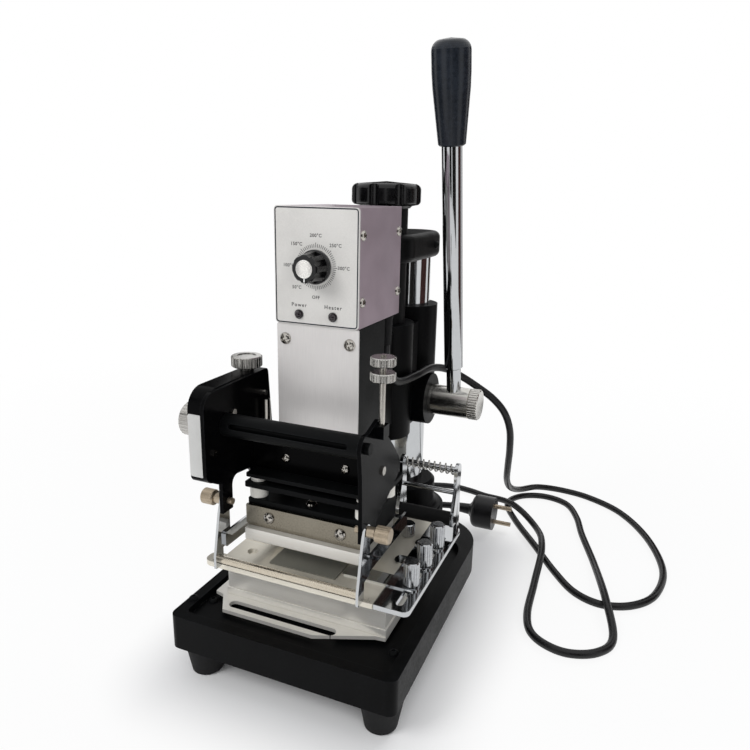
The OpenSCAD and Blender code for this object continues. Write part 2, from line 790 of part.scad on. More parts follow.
// Fluted dial knob with a skirt and a spun metal cap
module dial_knob() {
    skirt_r = dial_d / 2;
    grip_r = skirt_r * 0.8;
    flute_n = 8;
    cap_r = grip_r * 0.66;
    knob_l = dial_d * 0.7;
    color("#121314") translate([0, front_y - gap, box_z + dial_rise]) rotate([90, 0, 0]) difference() {
        union() {
            rotate_extrude() polygon([[3 + run, 0], [skirt_r, 0], [skirt_r, 2.4], [skirt_r - 0.8, 3.4],
                [grip_r, knob_l - 0.8], [grip_r - 0.8, knob_l], [0, knob_l], [0, 9], [3 + run, 9]]);
            cylinder(r = cap_r, h = knob_l + 0.3);
        }
        for (i = [0:flute_n - 1])
            rotate((i + 0.5) * 360 / flute_n - 90) translate([grip_r + 1.7, 0, 4])
                cylinder(r = 2.5, h = knob_l);
        translate([0, 0, -1]) cylinder(r = 3 + run, h = 10);
    }
}

module pilot_lamps() {
    color("#3a0f12") for (s = [-1, 1]) translate([s * lamp_x, front_y, box_z + lamp_rise])
        rotate([90, 0, 0]) {
        rotate_extrude() polygon(concat([[0, 0], [lamp_r, 0], [lamp_r, 0.8]],
            arc([0, 0.8], lamp_r - 0.6, 0, 90, 6)));
        translate([0, 0, -10]) cylinder(r = lamp_r - 0.7, h = 10);
    }
}

// Screws of the head: front plate, control box, cross panel, die clamp, heater and insulators
module head_fasteners() {
    color("#c9ccd0") {
        for (s = [-1, 1]) translate([s * (box_w / 2 - 7.1), housing_y - sheet_t, box_z - 11.7])
            rotate([90, 0, 0]) button_head(9, 2.6, true);
        for (s = [-1, 1], y = [front_y + 6, front_y + box_d - 6], z = [18.5, box_h - 18.5])
            translate([s * box_w / 2, y, box_z + z]) rotate([0, s * 90, 0]) button_head(7.6, 2.4, true);
        for (s = [-1, 1]) translate([s * 25.1, panel_front, housing_z + 17.5]) rotate([90, 0, 0])
            button_head(7.5, 2.4, true);
        for (s = [-1, 1]) translate([s * 30, front_y - 20.5, heater_z + 9.1]) rotate([90, 0, 0])
            button_head(9.2, 3.2);
        translate([0, front_y - 8, heater_top]) button_head(9, 3);
        for (p = bush_spots) if (p[1] > front_y) translate([p[0], p[1], housing_z + cap_bush_h])
            button_head(9, 3.4);
        for (p = left_plate_screws) rod_x(-plate_x, -plate_x + 1.6, p[0], p[1], 2.6);
        for (s = [-1, 1]) rod_x(s > 0 ? outer_x : -outer_x - cover_w - 1.5,
            s > 0 ? outer_x + 1.5 : -outer_x - cover_w, front_y - 8, housing_z + 25, 3.2);
        translate([0, front_y + 58, box_z - 7]) cylinder(d = 8, h = 7, $fn = 6);
    }
}

// Insulated heater stack

bush_x = 44.7;
bush_front = front_y - 10;
cap_bush_h = 3.5;
left_plate_screws = [[front_y - 52.5, housing_z + 35.4], [front_y - 27.7, housing_z + 58.4]];
bush_back = front_y + 32;
bush_spots = [for (x = [-bush_x, bush_x], y = [bush_front, bush_back]) [x, y]];

// Carrier plate over the insulators, with a clamping strip on the front pair
module carrier_plate() {
    half = foil_w / 2 - 1.5;
    color("#202224") {
        plate_xy(carrier_z, carrier_t)
            polygon(round_box([-half, front_y - 19], [half, front_y + 50], [2, 2, 2, 2]));
        plate_xy(housing_z + cap_bush_h, 3)
            polygon(round_box([-half, bush_front - 7], [half, panel_front - gap], [2, 2, 0.5, 0.5]));
    }
}

module insulators() {
    color("#eceae2") for (p = bush_spots) {
        translate([p[0], p[1], heater_top]) cylinder(d = bush_d, h = bush_h);
        translate([p[0], p[1], housing_z]) cylinder(d = bush_d - 2, h = cap_bush_h);
    }
}

module heater_block() {
    color("#1a1b1c") translate([-heater_w / 2, front_y - 17.5, heater_z]) cube([heater_w, 58, heater_h]);
}

// Chrome clamp that holds the die plate's front edge
module die_clamp() {
    color("#cfd1d3") plate_xz(front_y - 20.5, 3)
        polygon(round_box([-heater_w / 2 - 0.5, heater_z], [heater_w / 2 + 0.5, heater_z + 17],
            [3, 3, 0.5, 0.5]));
}

module die_plate() {
    color("#e3e4e4") difference() {
        translate([-die_w / 2, front_y - 25.7, die_z]) cube([die_w, 66, die_t]);
        translate([-die_w / 2 - 1, front_y - 25.7 - 0.01, die_z - 0.01]) rotate([45, 0, 0])
            translate([0, -1, -1]) cube([die_w + 2, 2, 2]);
    }
}

// Foil feed frame

module foil_cross_panel() {
    color("#1b1c1e") plate_xz(panel_front, housing_y - panel_front)
        polygon(round_box([-plate_x, housing_z + 1], [plate_x, panel_z1 - 0.3], [1, 1, 1, 1]));
}

leg_front = pivot_y - 5.4;
leg_low = pivot_z - 8;
left_front = cover_front - 5.5;

// Right plate: a leg at the pivot, a bearing at the spindle, a finger under the stud and a rounded back
module right_plate_outline() {
    z = housing_z;
    polygon(concat([[leg_front, leg_low], [pivot_y + 12, leg_low], [pivot_y + 26, leg_low + 8]],
        arc([stud_y + 39, z + 17], 9, -60, 45, 6), [[stud_y + 33, z + 37], [stud_y + 20, z + 49]],
        arc([stud_y + 3, z + 60], 6, 20, 120, 5), [[stud_y - 14, z + 61]],
        arc([spindle_y, spindle_z], 9.5, 95, 200, 8), [[leg_front - 1, z + 32], [leg_front, z + 8]]));
}

// Left plate: it stands out in front of the drive cover and ends in a narrow leg with a notch behind
module left_plate_outline() {
    z = housing_z;
    leg_back = pivot_y + 5.6;
    polygon(concat([[leg_front - 1.6, leg_low], [leg_back, leg_low], [leg_back, z + 2]],
        arc([leg_back + 7, z + 2], 7, 180, 95, 5), [[front_y - 9, z + 7], [front_y - 4, z + 2]],
        arc([front_y + 20, z + 24], 7, -40, 0, 3), arc([cover_back - 4, cover_z1 - 4], 4, 0, 90, 4),
        arc([left_front + 12, cover_z1 - 13], 12, 90, 180, 8),
            arc([left_front + 7, cover_z0 + 10], 7, 180, 250, 5),
        [[leg_front - 7, z + 10], [leg_front - 1.6, z + 8]]));
}

module foil_side_plates() {
    color("#1d1e20") {
        difference() {
            union() {
                plate_yz(plate_x, side_t) right_plate_outline();
                translate([outer_x - 0.01, stud_y - 5, stud_seat_z - 9]) cube([7, 10, 9]);
            }
            rod_x(plate_x - 1, outer_x + 1, spindle_y, spindle_z, journal_d / 2 + run);
            rod_x(plate_x - 1, outer_x + 1, pivot_y, pivot_z, 2.5 + run);
        }
        difference() {
            union() {
                plate_yz(-outer_x, side_t) left_plate_outline();
                translate([-plate_x - 0.01, front_y + 8, housing_z + 20]) cube([7, 9, 8]);
            }
            rod_x(-outer_x - 1, -plate_x + 1, spindle_y, spindle_z, journal_d / 2 + run);
            rod_x(-outer_x - 1, -plate_x + 1, pivot_y, pivot_z, 2.5 + run);
        }
    }
}

// Hollow cover over the ratchet drive, open on the side plate's side
module foil_drive_cover() {
    x0 = -outer_x - cover_w;
    radii = [6, 6, 4, cover_r];
    w = cover_wall;
    color("#191a1c") difference() {
        plate_yz(x0, cover_w) polygon(round_box([cover_front, cover_z0], [cover_back, cover_z1], radii));
        plate_yz(x0 + w, cover_w)
            polygon(round_box([cover_front + w, cover_z0 + w], [cover_back - w, cover_z1 - w],
            radii - [w, w, w, w]));
        rod_x(x0 - 1, x0 + w + 1, spindle_y, spindle_z, journal_d / 2 + run);
        rod_z(tension_x, tension_y, cover_z1 - w - 1, cover_z1 + 1, 3 + run);
    }
}

// U-shaped bail that keeps the foil clear of the work, hung from the side plates
module foil_guide_bail() {
    color("#cbced1") {
        for (s = [-1, 1]) difference() {
            plate_yz(s > 0 ? bail_x : -bail_x - bail_t, bail_t)
                polygon(concat([[bail_rod_y - 6.5, bail_rod_z - 4.5], [lip_front - 1, bail_rod_z - 4.5],
                    [lip_front - 1, die_z],
                    [pivot_y + 5, die_z + 1]], arc([pivot_y, pivot_z], 5, 0, 180, 8),
                        [[pivot_y - 7.5, pivot_z - 8], [bail_rod_y - 6.5, bail_rod_z + 5]]));
            rod_x(-bail_x - bail_t - 1, bail_x + bail_t + 1, pivot_y, pivot_z, 2.5 + run);
        }
        rod_x(-bail_x - 0.01, bail_x + 0.01, bail_rod_y, bail_rod_z, bail_rod_r);
    }
}

module foil_guide_rails() {
    front = pivot_y - 4;
    color("#b9b6ae") {
        for (s = [-1, 1]) plate_yz(s > 0 ? bail_x - bail_t : -bail_x, bail_t)
            polygon(round_box([front, die_z], [rail_back, die_z + rail_h], [2, 2, 2, 2]));
        rod_x(-bail_x + bail_t - 0.01, bail_x - bail_t + 0.01, rail_back - 5, die_z + rail_h - 4, 2.5);
    }
}

// Slotted spindle: a tube with closed ends on a through shaft
module foil_spindle() {
    r = spindle_d / 2;
    wall = 2;
    half = plate_x - 0.5;
    plug_l = 5;
    color("#232527") {
        difference() {
            rod_x(-half, half, spindle_y, spindle_z, r);
            rod_x(-half + plug_l, half - plug_l, spindle_y, spindle_z, r - wall);
            translate([0, spindle_y, spindle_z]) rotate([76, 0, 0]) translate([0, 0, r])
                plate_xy(-wall - 1.5, wall + 3) slot_2d([-half + 9, 0], [half - 9, 0], spindle_slot);
        }
        rod_x(-outer_x - cover_w - gap - 9, outer_x + 3, spindle_y, spindle_z, journal_d / 2);
    }
}

module spindle_wheel() {
    x1 = -outer_x - cover_w - gap;
    w = 14.5;
    color("#c6c8ca") difference() {
        translate([x1, spindle_y, spindle_z]) rotate([0, -90, 0]) knurled(wheel_d, w, 28);
        rod_x(x1 - 9, x1 + 1, spindle_y, spindle_z, journal_d / 2);
    }
}

module tension_thumbscrew() {
    collar_h = 2.6;
    color("#cfd1d2") translate([tension_x, tension_y, cover_z1 + gap]) {
        difference() {
            translate([0, 0, collar_h]) knurled(tension_d, 8.5, 32);
            translate([0, 0, collar_h + 7.9]) cylinder(d = tension_d * 0.62, h = 1);
        }
        cylinder(r = 5.5, h = collar_h + 0.01);
        translate([0, 0, -cover_wall - 14]) cylinder(r = 3, h = cover_wall + 14.01);
    }
}

module brake_studs() {
    color("#b7babd") {
        rod_z(stud_x, stud_y, stud_seat_z, stud_top, stud_d / 2);
        rod_z(-plate_x + 3.5, front_y + 12.5, housing_z + 28, housing_z + 58, 3);
        rod_x(-plate_x, -plate_x + 9, front_y + 4, housing_z + 66, 2.2);
    }
}

module brake_nut(z) {
    color("#b4b0a8") translate([stud_x, stud_y, z]) difference() {
        knurled(nut_d, nut_h, 30, 0.7);
        translate([0, 0, -1]) cylinder(r = stud_d / 2 + run, h = nut_h + 2);
    }
}

// Bushed clamp knob on the bail's pivot, its screw through the side plate
module guide_knob(s) {
    x = s * (bail_x + bail_t + gap);
    color("#c8a878") translate([x, pivot_y, pivot_z]) rotate([0, s * 90, 0]) {
        translate([0, 0, 6]) knurled(12, 10.5, 18);
        cylinder(r = 4, h = 6.01);
        translate([0, 0, -bail_t - gap - side_t - 4]) cylinder(r = 2.5, h = bail_t + gap + side_t + 4.01);
    }
}

// Pinion shaft and lever

function inv_point(rb, t) = rb * [cos(t) + t * PI / 180 * sin(t), sin(t) - t * PI / 180 * cos(t)];

// Involute pinion outline with a tooth gap on the +X direction of the drawing
module pinion_outline() {
    rb = pitch_r * cos(pressure_angle);
    root_r = pitch_r - dedendum;
    t_tip = sqrt(pow(tip_r / rb, 2) - 1) * 180 / PI;
    inv_pitch = tan(pressure_angle) * 180 / PI - pressure_angle;
    half_tooth = 90 / pinion_teeth - backlash / 4 / pitch_r * 180 / PI + inv_pitch;
    steps = 6;
    t_low = root_r > rb ? sqrt(pow(root_r / rb, 2) - 1) * 180 / PI : 0;
    flank = [for (i = [0:steps]) inv_point(rb, t_low + (t_tip - t_low) * i / steps)];
    circle(root_r);
    for (i = [0:pinion_teeth - 1]) rotate((i + 0.5) * 360 / pinion_teeth)
        polygon(concat([[root_r - 1, -half_tooth * PI / 180 * root_r * 0.9]],
            [for (p = flank) [cos(-half_tooth) * p[0] - sin(-half_tooth) * p[1],
                sin(-half_tooth) * p[0] + cos(-half_tooth) * p[1]]],
            [for (k = [steps:-1:0]) let (p = flank[k]) [cos(half_tooth) * p[0] + sin(half_tooth) * p[1],
                sin(half_tooth) * p[0] - cos(half_tooth) * p[1]]],
            [[root_r - 1, half_tooth * PI / 180 * root_r * 0.9]]));
}

module pinion_shaft() {
    color("#8f9498") {
        translate([0, shaft_y, shaft_z]) plate_yz(-pinion_w / 2, pinion_w) pinion_outline();
        rod_x(pinion_w / 2 - 0.01, boss_x + gap, shaft_y, shaft_z, journal_r);
        rod_x(boss_left - cap_t - 3, -pinion_w / 2 + 0.01, shaft_y, shaft_z, tail_r);
        rod_x(boss_left - cap_t - gap - 4, boss_left - cap_t - gap, shaft_y, shaft_z, tail_r + 3);
    }
}

cap_l = 9.5;
hub_x1 = lever_x + 15.5;

module lever_hub() {
    color("#d2d4d6") difference() {
        union() {
            rod_x(boss_x + gap, hub_x1, shaft_y, shaft_z, hub_d / 2);
            translate([hub_x1 - 0.01, shaft_y, shaft_z]) rotate([0, 90, 0])
                knurled(hub_d + 0.4, cap_l, 36, 1);
        }
        translate([lever_x, shaft_y, shaft_z]) rotate([lever_lean, 0, 0])
            cylinder(d = lever_d - 3.5, h = hub_d);
    }
}

module lever_rod() {
    neck_l = hub_d / 2 + 21.5;
    color("#d6d8da") translate([lever_x, shaft_y, shaft_z]) rotate([lever_lean, 0, 0]) {
        cylinder(d = lever_d - 3.5, h = neck_l + 0.01);
        translate([0, 0, neck_l]) rotate_extrude() polygon([[0, 0], [lever_d / 2 - 1, 0], [lever_d / 2, 1],
            [lever_d / 2, lever_len - grip_l - neck_l + 12], [0, lever_len - grip_l - neck_l + 12]]);
    }
}

module lever_grip() {
    r = grip_d / 2;
    bottom_r = r * 0.73;
    color("#161718") translate([lever_x, shaft_y, shaft_z]) rotate([lever_lean, 0, 0])
        translate([0, 0, lever_len - grip_l])
        rotate_extrude() polygon(concat([[lever_d / 2, 0], [bottom_r - 1, 0], [bottom_r, 1],
            [r * 0.97, grip_l * 0.55], [r, grip_l * 0.7]],
            arc([r - 8, grip_l - 8], 8, 0, 90, 7), [[0, grip_l + 0.8], [0, 12], [lever_d / 2, 12]]));
}

// Power cord: from the control box over the casting's shoulder and in two loose loops on the bench

relief_x = box_w / 2 - 7.5;
relief_neck_r = 4.5;
relief_y = front_y + box_d - 8;
relief_l = 25;
cord_r = cord_d / 2;
lie = cord_r + 0.4;
over = lie + cord_d + 0.6;
plug_x = 31;
plug_y = 193;
exit_z = box_z - relief_l;
rest_z = shaft_z + boss_r + cord_r + 1.1;

// Points of the cord's middle line: the exit and the shoulder, the fall behind the machine,
// the wide loop, the narrow loop over it, and the end that turns back into the plug
cord_route = [
    [relief_x, relief_y, exit_z - 0.35], [relief_x + 0.1, relief_y + 1, exit_z - 12.2],
    [relief_x + 0.7, relief_y + 8, rest_z + 13.4], [relief_x + 1.8, relief_y + 20.5, rest_z + 4.3],
    [relief_x + 3.5, relief_y + 36, rest_z + 1], [32.5, shaft_y - 26, rest_z + 0.5],
        [36, shaft_y + 2, rest_z + 0.3],
    [44, col_y - 11, rest_z - 4.5], [56, col_y + 3, rest_z - 14], [71, col_y + 11, rest_z - 25],
    [86, col_y + 17, rest_z - 37], [97, col_y + 23, rest_z - 52], [102, col_y + 31, rest_z - 72],
    [101, col_y + 44, rest_z - 98], [97, col_y + 63, rest_z - 124], [92, col_y + 91, 60], [91, col_y + 123, 37], [96, col_y + 158, 20.5], [113, col_y + 193, 12.5],
        [142, 321, 5.5],
    [176, 316, lie], [214, 289, lie], [245, 237, lie], [262, 173, lie], [256, 122, lie], [237, 94, lie],
    [210, 83, lie], [184, 93, lie], [161, 122, lie], [134, 166, lie], [102, 217, lie],
    [85, 256, lie], [96, 284, lie], [123, 296, lie], [151, 286, lie], [167, 255, lie], [178, 213, lie],
    [196, 155, 4.5], [212, 84, over], [223, 36, 4.2], [212, 10, lie], [186, -1, lie], [160, 10, lie],
    [149, 38, lie], [146, 92, 5], [143, 151, over], [129, 204, 5.5], [94, 240, over + 0.3],
    [54, 265, 4.6], [31, 273, lie], [7, 275, lie], [-22, 263, lie], [-34, 234, 5.2], [-22, 205, 9.6],
    [7, plug_y, 15.5], [plug_x, plug_y, plug_d / 2]
];

// Tapered strain relief below the control box's floor
module strain_relief() {
    color("#101011") translate([relief_x, relief_y, box_z]) {
        rotate_extrude() polygon([[0, 0], [5.4, 0], [5.4, -3], [5, -4], [cord_r + 0.7, -relief_l],
            [0, -relief_l]]);
        cylinder(r = relief_neck_r, h = sheet_t);
    }
}

module power_cord() {
    color("#121213") tube(smooth(cord_route, 2), cord_r, 8, [1, 0, 0]);
}

// Round two-pin plug lying on its side
module mains_plug() {
    neck_l = 26;
    r = plug_d / 2;
    body_l = 25;
    color("#141415") translate([plug_x, plug_y, r]) rotate([0, 90, 0]) {
        rotate_extrude() polygon(concat([[0, 0], [cord_r + 0.8, 0], [cord_r + 2.6, neck_l - 4],
            [10, neck_l - 1]],
            arc([r - 6, neck_l + 6], 6, 270, 360, 5), [[r, neck_l + body_l], [0, neck_l + body_l]]));
    }
    color("#c7b27a") for (s = [-1, 1]) rod_x(plug_x + neck_l + body_l, plug_x + neck_l + body_l + 19,
        plug_y, r + s * 9.5, 2.4);
}

base_casting();
rubber_feet();
column_socket();
column();
rack();
top_bracket();
guide_post();
base_fasteners();
slotted_plate();
bed_plate();
table_block();
table_plate();
press_pad();
gauge_plate();
gauge_fingers();
gauge_thumbscrew(slot_x, thumb_y[0], table_top + finger_t);  // gauge_thumbscrew_1
gauge_thumbscrew(slot_x, thumb_y[1], table_top + finger_t);  // gauge_thumbscrew_2
gauge_thumbscrew(slot_x, thumb_y[2], table_top + finger_t);  // gauge_thumbscrew_3
rear_thumbscrew();
roller_frame();
rear_roller();
rod_spring();
height_screw();
star_knob();
return_spring();
main_casting();
bearing_cap();
head_housing();
front_plate();
box_chassis();
box_cover();
thermostat();
dial_knob();
pilot_lamps();
head_fasteners();
carrier_plate();
insulators();
heater_block();
die_clamp();
die_plate();
foil_cross_panel();
foil_side_plates();
foil_drive_cover();
foil_guide_bail();
foil_guide_rails();
foil_spindle();
spindle_wheel();
tension_thumbscrew();
brake_studs();
brake_nut(upper_nut_z);  // upper_brake_nut
brake_nut(lower_nut_z);  // lower_brake_nut
guide_knob(-1);  // left_guide_knob
guide_knob(1);  // right_guide_knob
pinion_shaft();
lever_hub();
lever_rod();
lever_grip();
strain_relief();
power_cord();
mains_plug();
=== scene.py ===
# %% [markdown]
# Hand-lever hot foil press: a lesson in dressing a CAD frame.
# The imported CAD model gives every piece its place. This script adds what a camera sees: paint, plating,
# rounded edges, printed words and a mains lead. Each step first says what the real piece is.

# %% Load the frame
import json
import math

import bmesh
import bpy
from mathutils import Matrix, Vector


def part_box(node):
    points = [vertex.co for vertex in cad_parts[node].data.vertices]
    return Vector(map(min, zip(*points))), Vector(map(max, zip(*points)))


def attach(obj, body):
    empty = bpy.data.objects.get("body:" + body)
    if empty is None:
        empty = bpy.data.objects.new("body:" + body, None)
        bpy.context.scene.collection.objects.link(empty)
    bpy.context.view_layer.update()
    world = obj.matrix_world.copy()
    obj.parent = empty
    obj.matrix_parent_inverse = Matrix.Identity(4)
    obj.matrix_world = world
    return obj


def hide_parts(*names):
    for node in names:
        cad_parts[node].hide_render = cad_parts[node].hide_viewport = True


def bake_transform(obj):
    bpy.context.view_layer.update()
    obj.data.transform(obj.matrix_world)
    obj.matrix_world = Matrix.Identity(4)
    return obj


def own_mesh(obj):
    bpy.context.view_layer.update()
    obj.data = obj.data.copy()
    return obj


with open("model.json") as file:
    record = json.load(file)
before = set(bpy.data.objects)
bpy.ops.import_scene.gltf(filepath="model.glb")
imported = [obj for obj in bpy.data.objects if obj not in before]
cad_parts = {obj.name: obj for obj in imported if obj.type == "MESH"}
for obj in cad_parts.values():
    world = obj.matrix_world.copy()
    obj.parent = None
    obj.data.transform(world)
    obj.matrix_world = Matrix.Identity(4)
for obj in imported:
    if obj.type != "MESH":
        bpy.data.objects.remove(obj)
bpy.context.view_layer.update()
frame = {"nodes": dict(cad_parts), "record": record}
nodes = frame["nodes"]
scene = bpy.context.scene
scene.view_settings.view_transform = "Standard"
MM = 0.001

# %% [markdown]
# The camera stands where the photographer stood: a little to the right of the press and above its head.
# It could be aimed with a Track To constraint, but the roll would be lost. Yaw, dip and roll turn the three
# camera axes, so the matrix is written straight from them.

# %% Camera
CAMERA_PLACE = Vector((0.2199, -0.5058, 0.3711))
YAW, DIP, ROLL = (math.radians(a) for a in (22.45, 15.31, -1.20))
FOCAL_PX, IMAGE_PX, SENSOR_MM = 671.7, 750.0, 36.0
NEAREST = 0.01

right = Vector((math.cos(YAW), math.sin(YAW), 0))
ahead = Vector((-math.sin(YAW) * math.cos(DIP), math.cos(YAW) * math.cos(DIP), -math.sin(DIP)))
down = ahead.cross(right)
rolled_right = math.cos(ROLL) * right + math.sin(ROLL) * down
rolled_down = math.cos(ROLL) * down - math.sin(ROLL) * right
turn = Matrix((rolled_right, -rolled_down, -ahead)).transposed()
camera_data = bpy.data.cameras.new("camera")
camera_data.lens = FOCAL_PX / IMAGE_PX * SENSOR_MM
camera_data.sensor_width = SENSOR_MM
camera_data.clip_start = NEAREST
camera = bpy.data.objects.new("camera", camera_data)
camera.matrix_world = Matrix.Translation(CAMERA_PLACE) @ turn.to_4x4()
scene.collection.objects.link(camera)
scene.camera = camera
print("lens", round(camera_data.lens, 2), "mm")

# %% [markdown]
# The mains lead leaves a rubber sleeve under the control box, rests on the casting's round boss, falls behind
# the lever and makes two loose loops on the bench. It could be drawn by hand, but the CAD solid already
# follows this route, so the same points are repeated here and joined by the same flowing line.

# %% Route of the mains lead
CORD_D = 7.2 * MM
LINE_STEPS = 8
# Height of the lead's middle where it lies on the bench, and where it lies over itself
LIE, OVER = 4.0, 11.8
ROUTE_MM = [
    # out of the sleeve and along the casting's shoulder
    (25.5, -14, 251.85), (25.6, -13, 240), (26.2, -6, 225.55), (27.3, 6.5, 216.45), (29, 22, 213.15),
    (32.5, 48.75, 212.65), (36, 76.75, 212.45), (44, 98, 207.65),
    # the fall behind the lever
    (56, 112, 198.15), (71, 120, 187.15), (86, 126, 175.15), (97, 132, 160.15), (102, 140, 140.15),
    (101, 153, 114.15), (97, 172, 88.15), (92, 200, 60), (91, 232, 37), (96, 267, 20.5), (113, 302, 12.5),
    (142, 321, 5.5),
    # the wide loop
    (176, 316, LIE), (214, 289, LIE), (245, 237, LIE), (262, 173, LIE), (256, 122, LIE), (237, 94, LIE),
    (210, 83, LIE), (184, 93, LIE), (161, 122, LIE), (134, 166, LIE), (102, 217, LIE),
    # the narrow loop, lying over the wide one where they cross
    (85, 256, LIE), (96, 284, LIE), (123, 296, LIE), (151, 286, LIE), (167, 255, LIE), (178, 213, LIE),
    (196, 155, 4.5), (212, 84, OVER), (223, 36, 4.2), (212, 10, LIE), (186, -1, LIE), (160, 10, LIE),
    (149, 38, LIE), (146, 92, 5), (143, 151, OVER), (129, 204, 5.5), (94, 240, OVER + 0.3),
    # round and back into the plug
    (54, 265, 4.6), (31, 273, LIE), (7, 275, LIE), (-22, 263, LIE), (-34, 234, 5.2), (-22, 205, 9.6),
    (7, 193, 15.5), (31, 193, 18.5),
]


def flowing(points, steps):
    """A Catmull-Rom line through the points, the same one that the CAD solid follows."""
    line = []
    last = len(points) - 1
    for i in range(last):
        a, b, c, d = (points[max(0, min(last, k))] for k in (i - 1, i, i + 1, i + 2))
        for s in range(steps):
            t = s / steps
            line.append(0.5 * (2 * b + (c - a) * t + (2 * a - 5 * b + 4 * c - d) * t * t
                               + (3 * b - a - 3 * c + d) * t * t * t))
    return line + [points[last]]


cord_line = flowing([Vector(p) * MM for p in ROUTE_MM], LINE_STEPS)

# %% [markdown]
# The lead itself is a round tube. A Skin modifier could thicken the line, but a curve with a round bevel
# keeps an even diameter through every bend. It is kept as a mesh.


def mesh_piece(name, mesh):
    """An object for a mesh, in the scene."""
    piece = bpy.data.objects.new(name, mesh)
    scene.collection.objects.link(piece)
    return piece


def shade_smooth(mesh):
    """Shades all faces of a mesh smooth."""
    for face in mesh.polygons:
        face.use_smooth = True


def drawn_mesh(curve):
    """The mesh that a curve or a text draws."""
    drawn = bpy.data.objects.new(curve.name, curve)
    scene.collection.objects.link(drawn)
    bpy.context.view_layer.update()
    mesh = bpy.data.meshes.new_from_object(drawn.evaluated_get(bpy.context.evaluated_depsgraph_get()))
    bpy.data.objects.remove(drawn)
    return mesh


def tube_piece(name, line, radius, sides=6):
    """A round tube along a line, made as a bevelled curve and then kept as a mesh."""
    curve = bpy.data.curves.new(name + "_line", "CURVE")
    curve.dimensions = "3D"
    curve.bevel_depth = radius
    curve.bevel_resolution = sides
    curve.use_fill_caps = True
    spline = curve.splines.new("POLY")
    spline.points.add(len(line) - 1)
    for point, place in zip(spline.points, line):
        point.co = (*place, 1)
    mesh = drawn_mesh(curve)
    mesh.name = name
    shade_smooth(mesh)
    return mesh_piece(name, mesh)


mains_lead = tube_piece("mains_lead", cord_line, CORD_D / 2)
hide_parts("power_cord")
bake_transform(mains_lead)
print("mains lead faces:", len(mains_lead.data.polygons))

# %% [markdown]
# The studio is white, because the photograph is cut out on white. The world gives soft light to the paint,
# and plain white to every ray that looks at it: from the camera, out of a mirror, or through glass. One
# helper turns sRGB hex colours into linear values, and one adds nodes.

# %% World
SOFT_LIGHT = 0.5
SEEN_RAYS = ("Is Camera Ray", "Is Glossy Ray", "Is Transmission Ray")
WHITE = "#ffffff"


def srgb(code):
    """An sRGB hex colour as linear red, green, blue and alpha."""
    parts = [int(code[i:i + 2], 16) / 255 for i in (1, 3, 5)]
    return [c / 12.92 if c <= 0.04045 else ((c + 0.055) / 1.055) ** 2.4 for c in parts] + [1.0]


def add(tree, kind, links=None, **settings):
    """Adds a node, sets its properties, and fills its inputs with values or with other nodes' outputs."""
    made = tree.nodes.new(kind)
    for name, value in settings.items():
        setattr(made, name, value)
    for name, value in (links or {}).items():
        if isinstance(value, bpy.types.NodeSocket):
            tree.links.new(value, made.inputs[name])
        else:
            made.inputs[name].default_value = value
    return made


def seen_directly(tree):
    """1 for the rays that show the background, and 0 for those that only carry light."""
    rays = add(tree, "ShaderNodeLightPath").outputs
    share = rays[SEEN_RAYS[0]]
    for name in SEEN_RAYS[1:]:
        share = add(tree, "ShaderNodeMath", {0: share, 1: rays[name]}, operation="MAXIMUM").outputs[0]
    return share


world = bpy.data.worlds.new("studio")
world.use_nodes = True
scene.world = world
sky = world.node_tree
sky.nodes.clear()
soft = add(sky, "ShaderNodeBackground", {"Color": srgb("#f6f7fa"), "Strength": SOFT_LIGHT})
plain = add(sky, "ShaderNodeBackground", {"Color": srgb(WHITE), "Strength": 1.0})
both = add(sky, "ShaderNodeMixShader", {0: seen_directly(sky), 1: soft.outputs[0], 2: plain.outputs[0]})
add(sky, "ShaderNodeOutputWorld", {"Surface": both.outputs[0]})
print("world: white to look at, soft light of", SOFT_LIGHT)

# %% [markdown]
# The floor is a white paper sweep. Round the base it is lit paper that takes the shadow, and further out it
# fades to plain white, so that no horizon shows. The fade is measured from a rectangle under the press.

# %% Floor
FLOOR_HALF = 6.0
SHADOW_HALF = (0.08, 0.14, 0)
# Nine tenths of the fade lie close to the press, and the rest runs out slowly
NEAR_TO, NEAR_SHARE = 0.08, 0.9
FAR_FROM, FAR_TO, FAR_SHARE = 0.2, 0.9, 0.1

floor_mesh = bpy.data.meshes.new("floor")
floor_shape = bmesh.new()
bmesh.ops.create_grid(floor_shape, x_segments=1, y_segments=1, size=FLOOR_HALF)
floor_shape.to_mesh(floor_mesh)
floor_shape.free()
mesh_piece("floor", floor_mesh)

paper = bpy.data.materials.new("white paper sweep")
paper.use_nodes = True
tree = paper.node_tree
sheet = tree.nodes["Principled BSDF"]
sheet.inputs["Base Color"].default_value = srgb("#fcfcfc")
sheet.inputs["Roughness"].default_value = 0.9
sheet.inputs["Specular IOR Level"].default_value = 0.2
spot = add(tree, "ShaderNodeTexCoord").outputs["Object"]
aside = add(tree, "ShaderNodeVectorMath", {0: spot}, operation="ABSOLUTE")
past = add(tree, "ShaderNodeVectorMath", {0: aside.outputs[0], 1: SHADOW_HALF}, operation="SUBTRACT")
beyond = add(tree, "ShaderNodeVectorMath", {0: past.outputs[0], 1: (0, 0, 0)}, operation="MAXIMUM")
far = add(tree, "ShaderNodeVectorMath", {0: beyond.outputs[0]}, operation="LENGTH").outputs["Value"]
near = add(tree, "ShaderNodeMapRange", {"Value": far, "From Max": NEAR_TO, "To Max": NEAR_SHARE},
           interpolation_type="SMOOTHSTEP")
away = add(tree, "ShaderNodeMapRange",
           {"Value": far, "From Min": FAR_FROM, "From Max": FAR_TO, "To Max": FAR_SHARE})
faded = add(tree, "ShaderNodeMath", {0: near.outputs[0], 1: away.outputs[0]}, operation="ADD")
fade = add(tree, "ShaderNodeMath", {0: faded.outputs[0], 1: seen_directly(tree)}, operation="MULTIPLY")
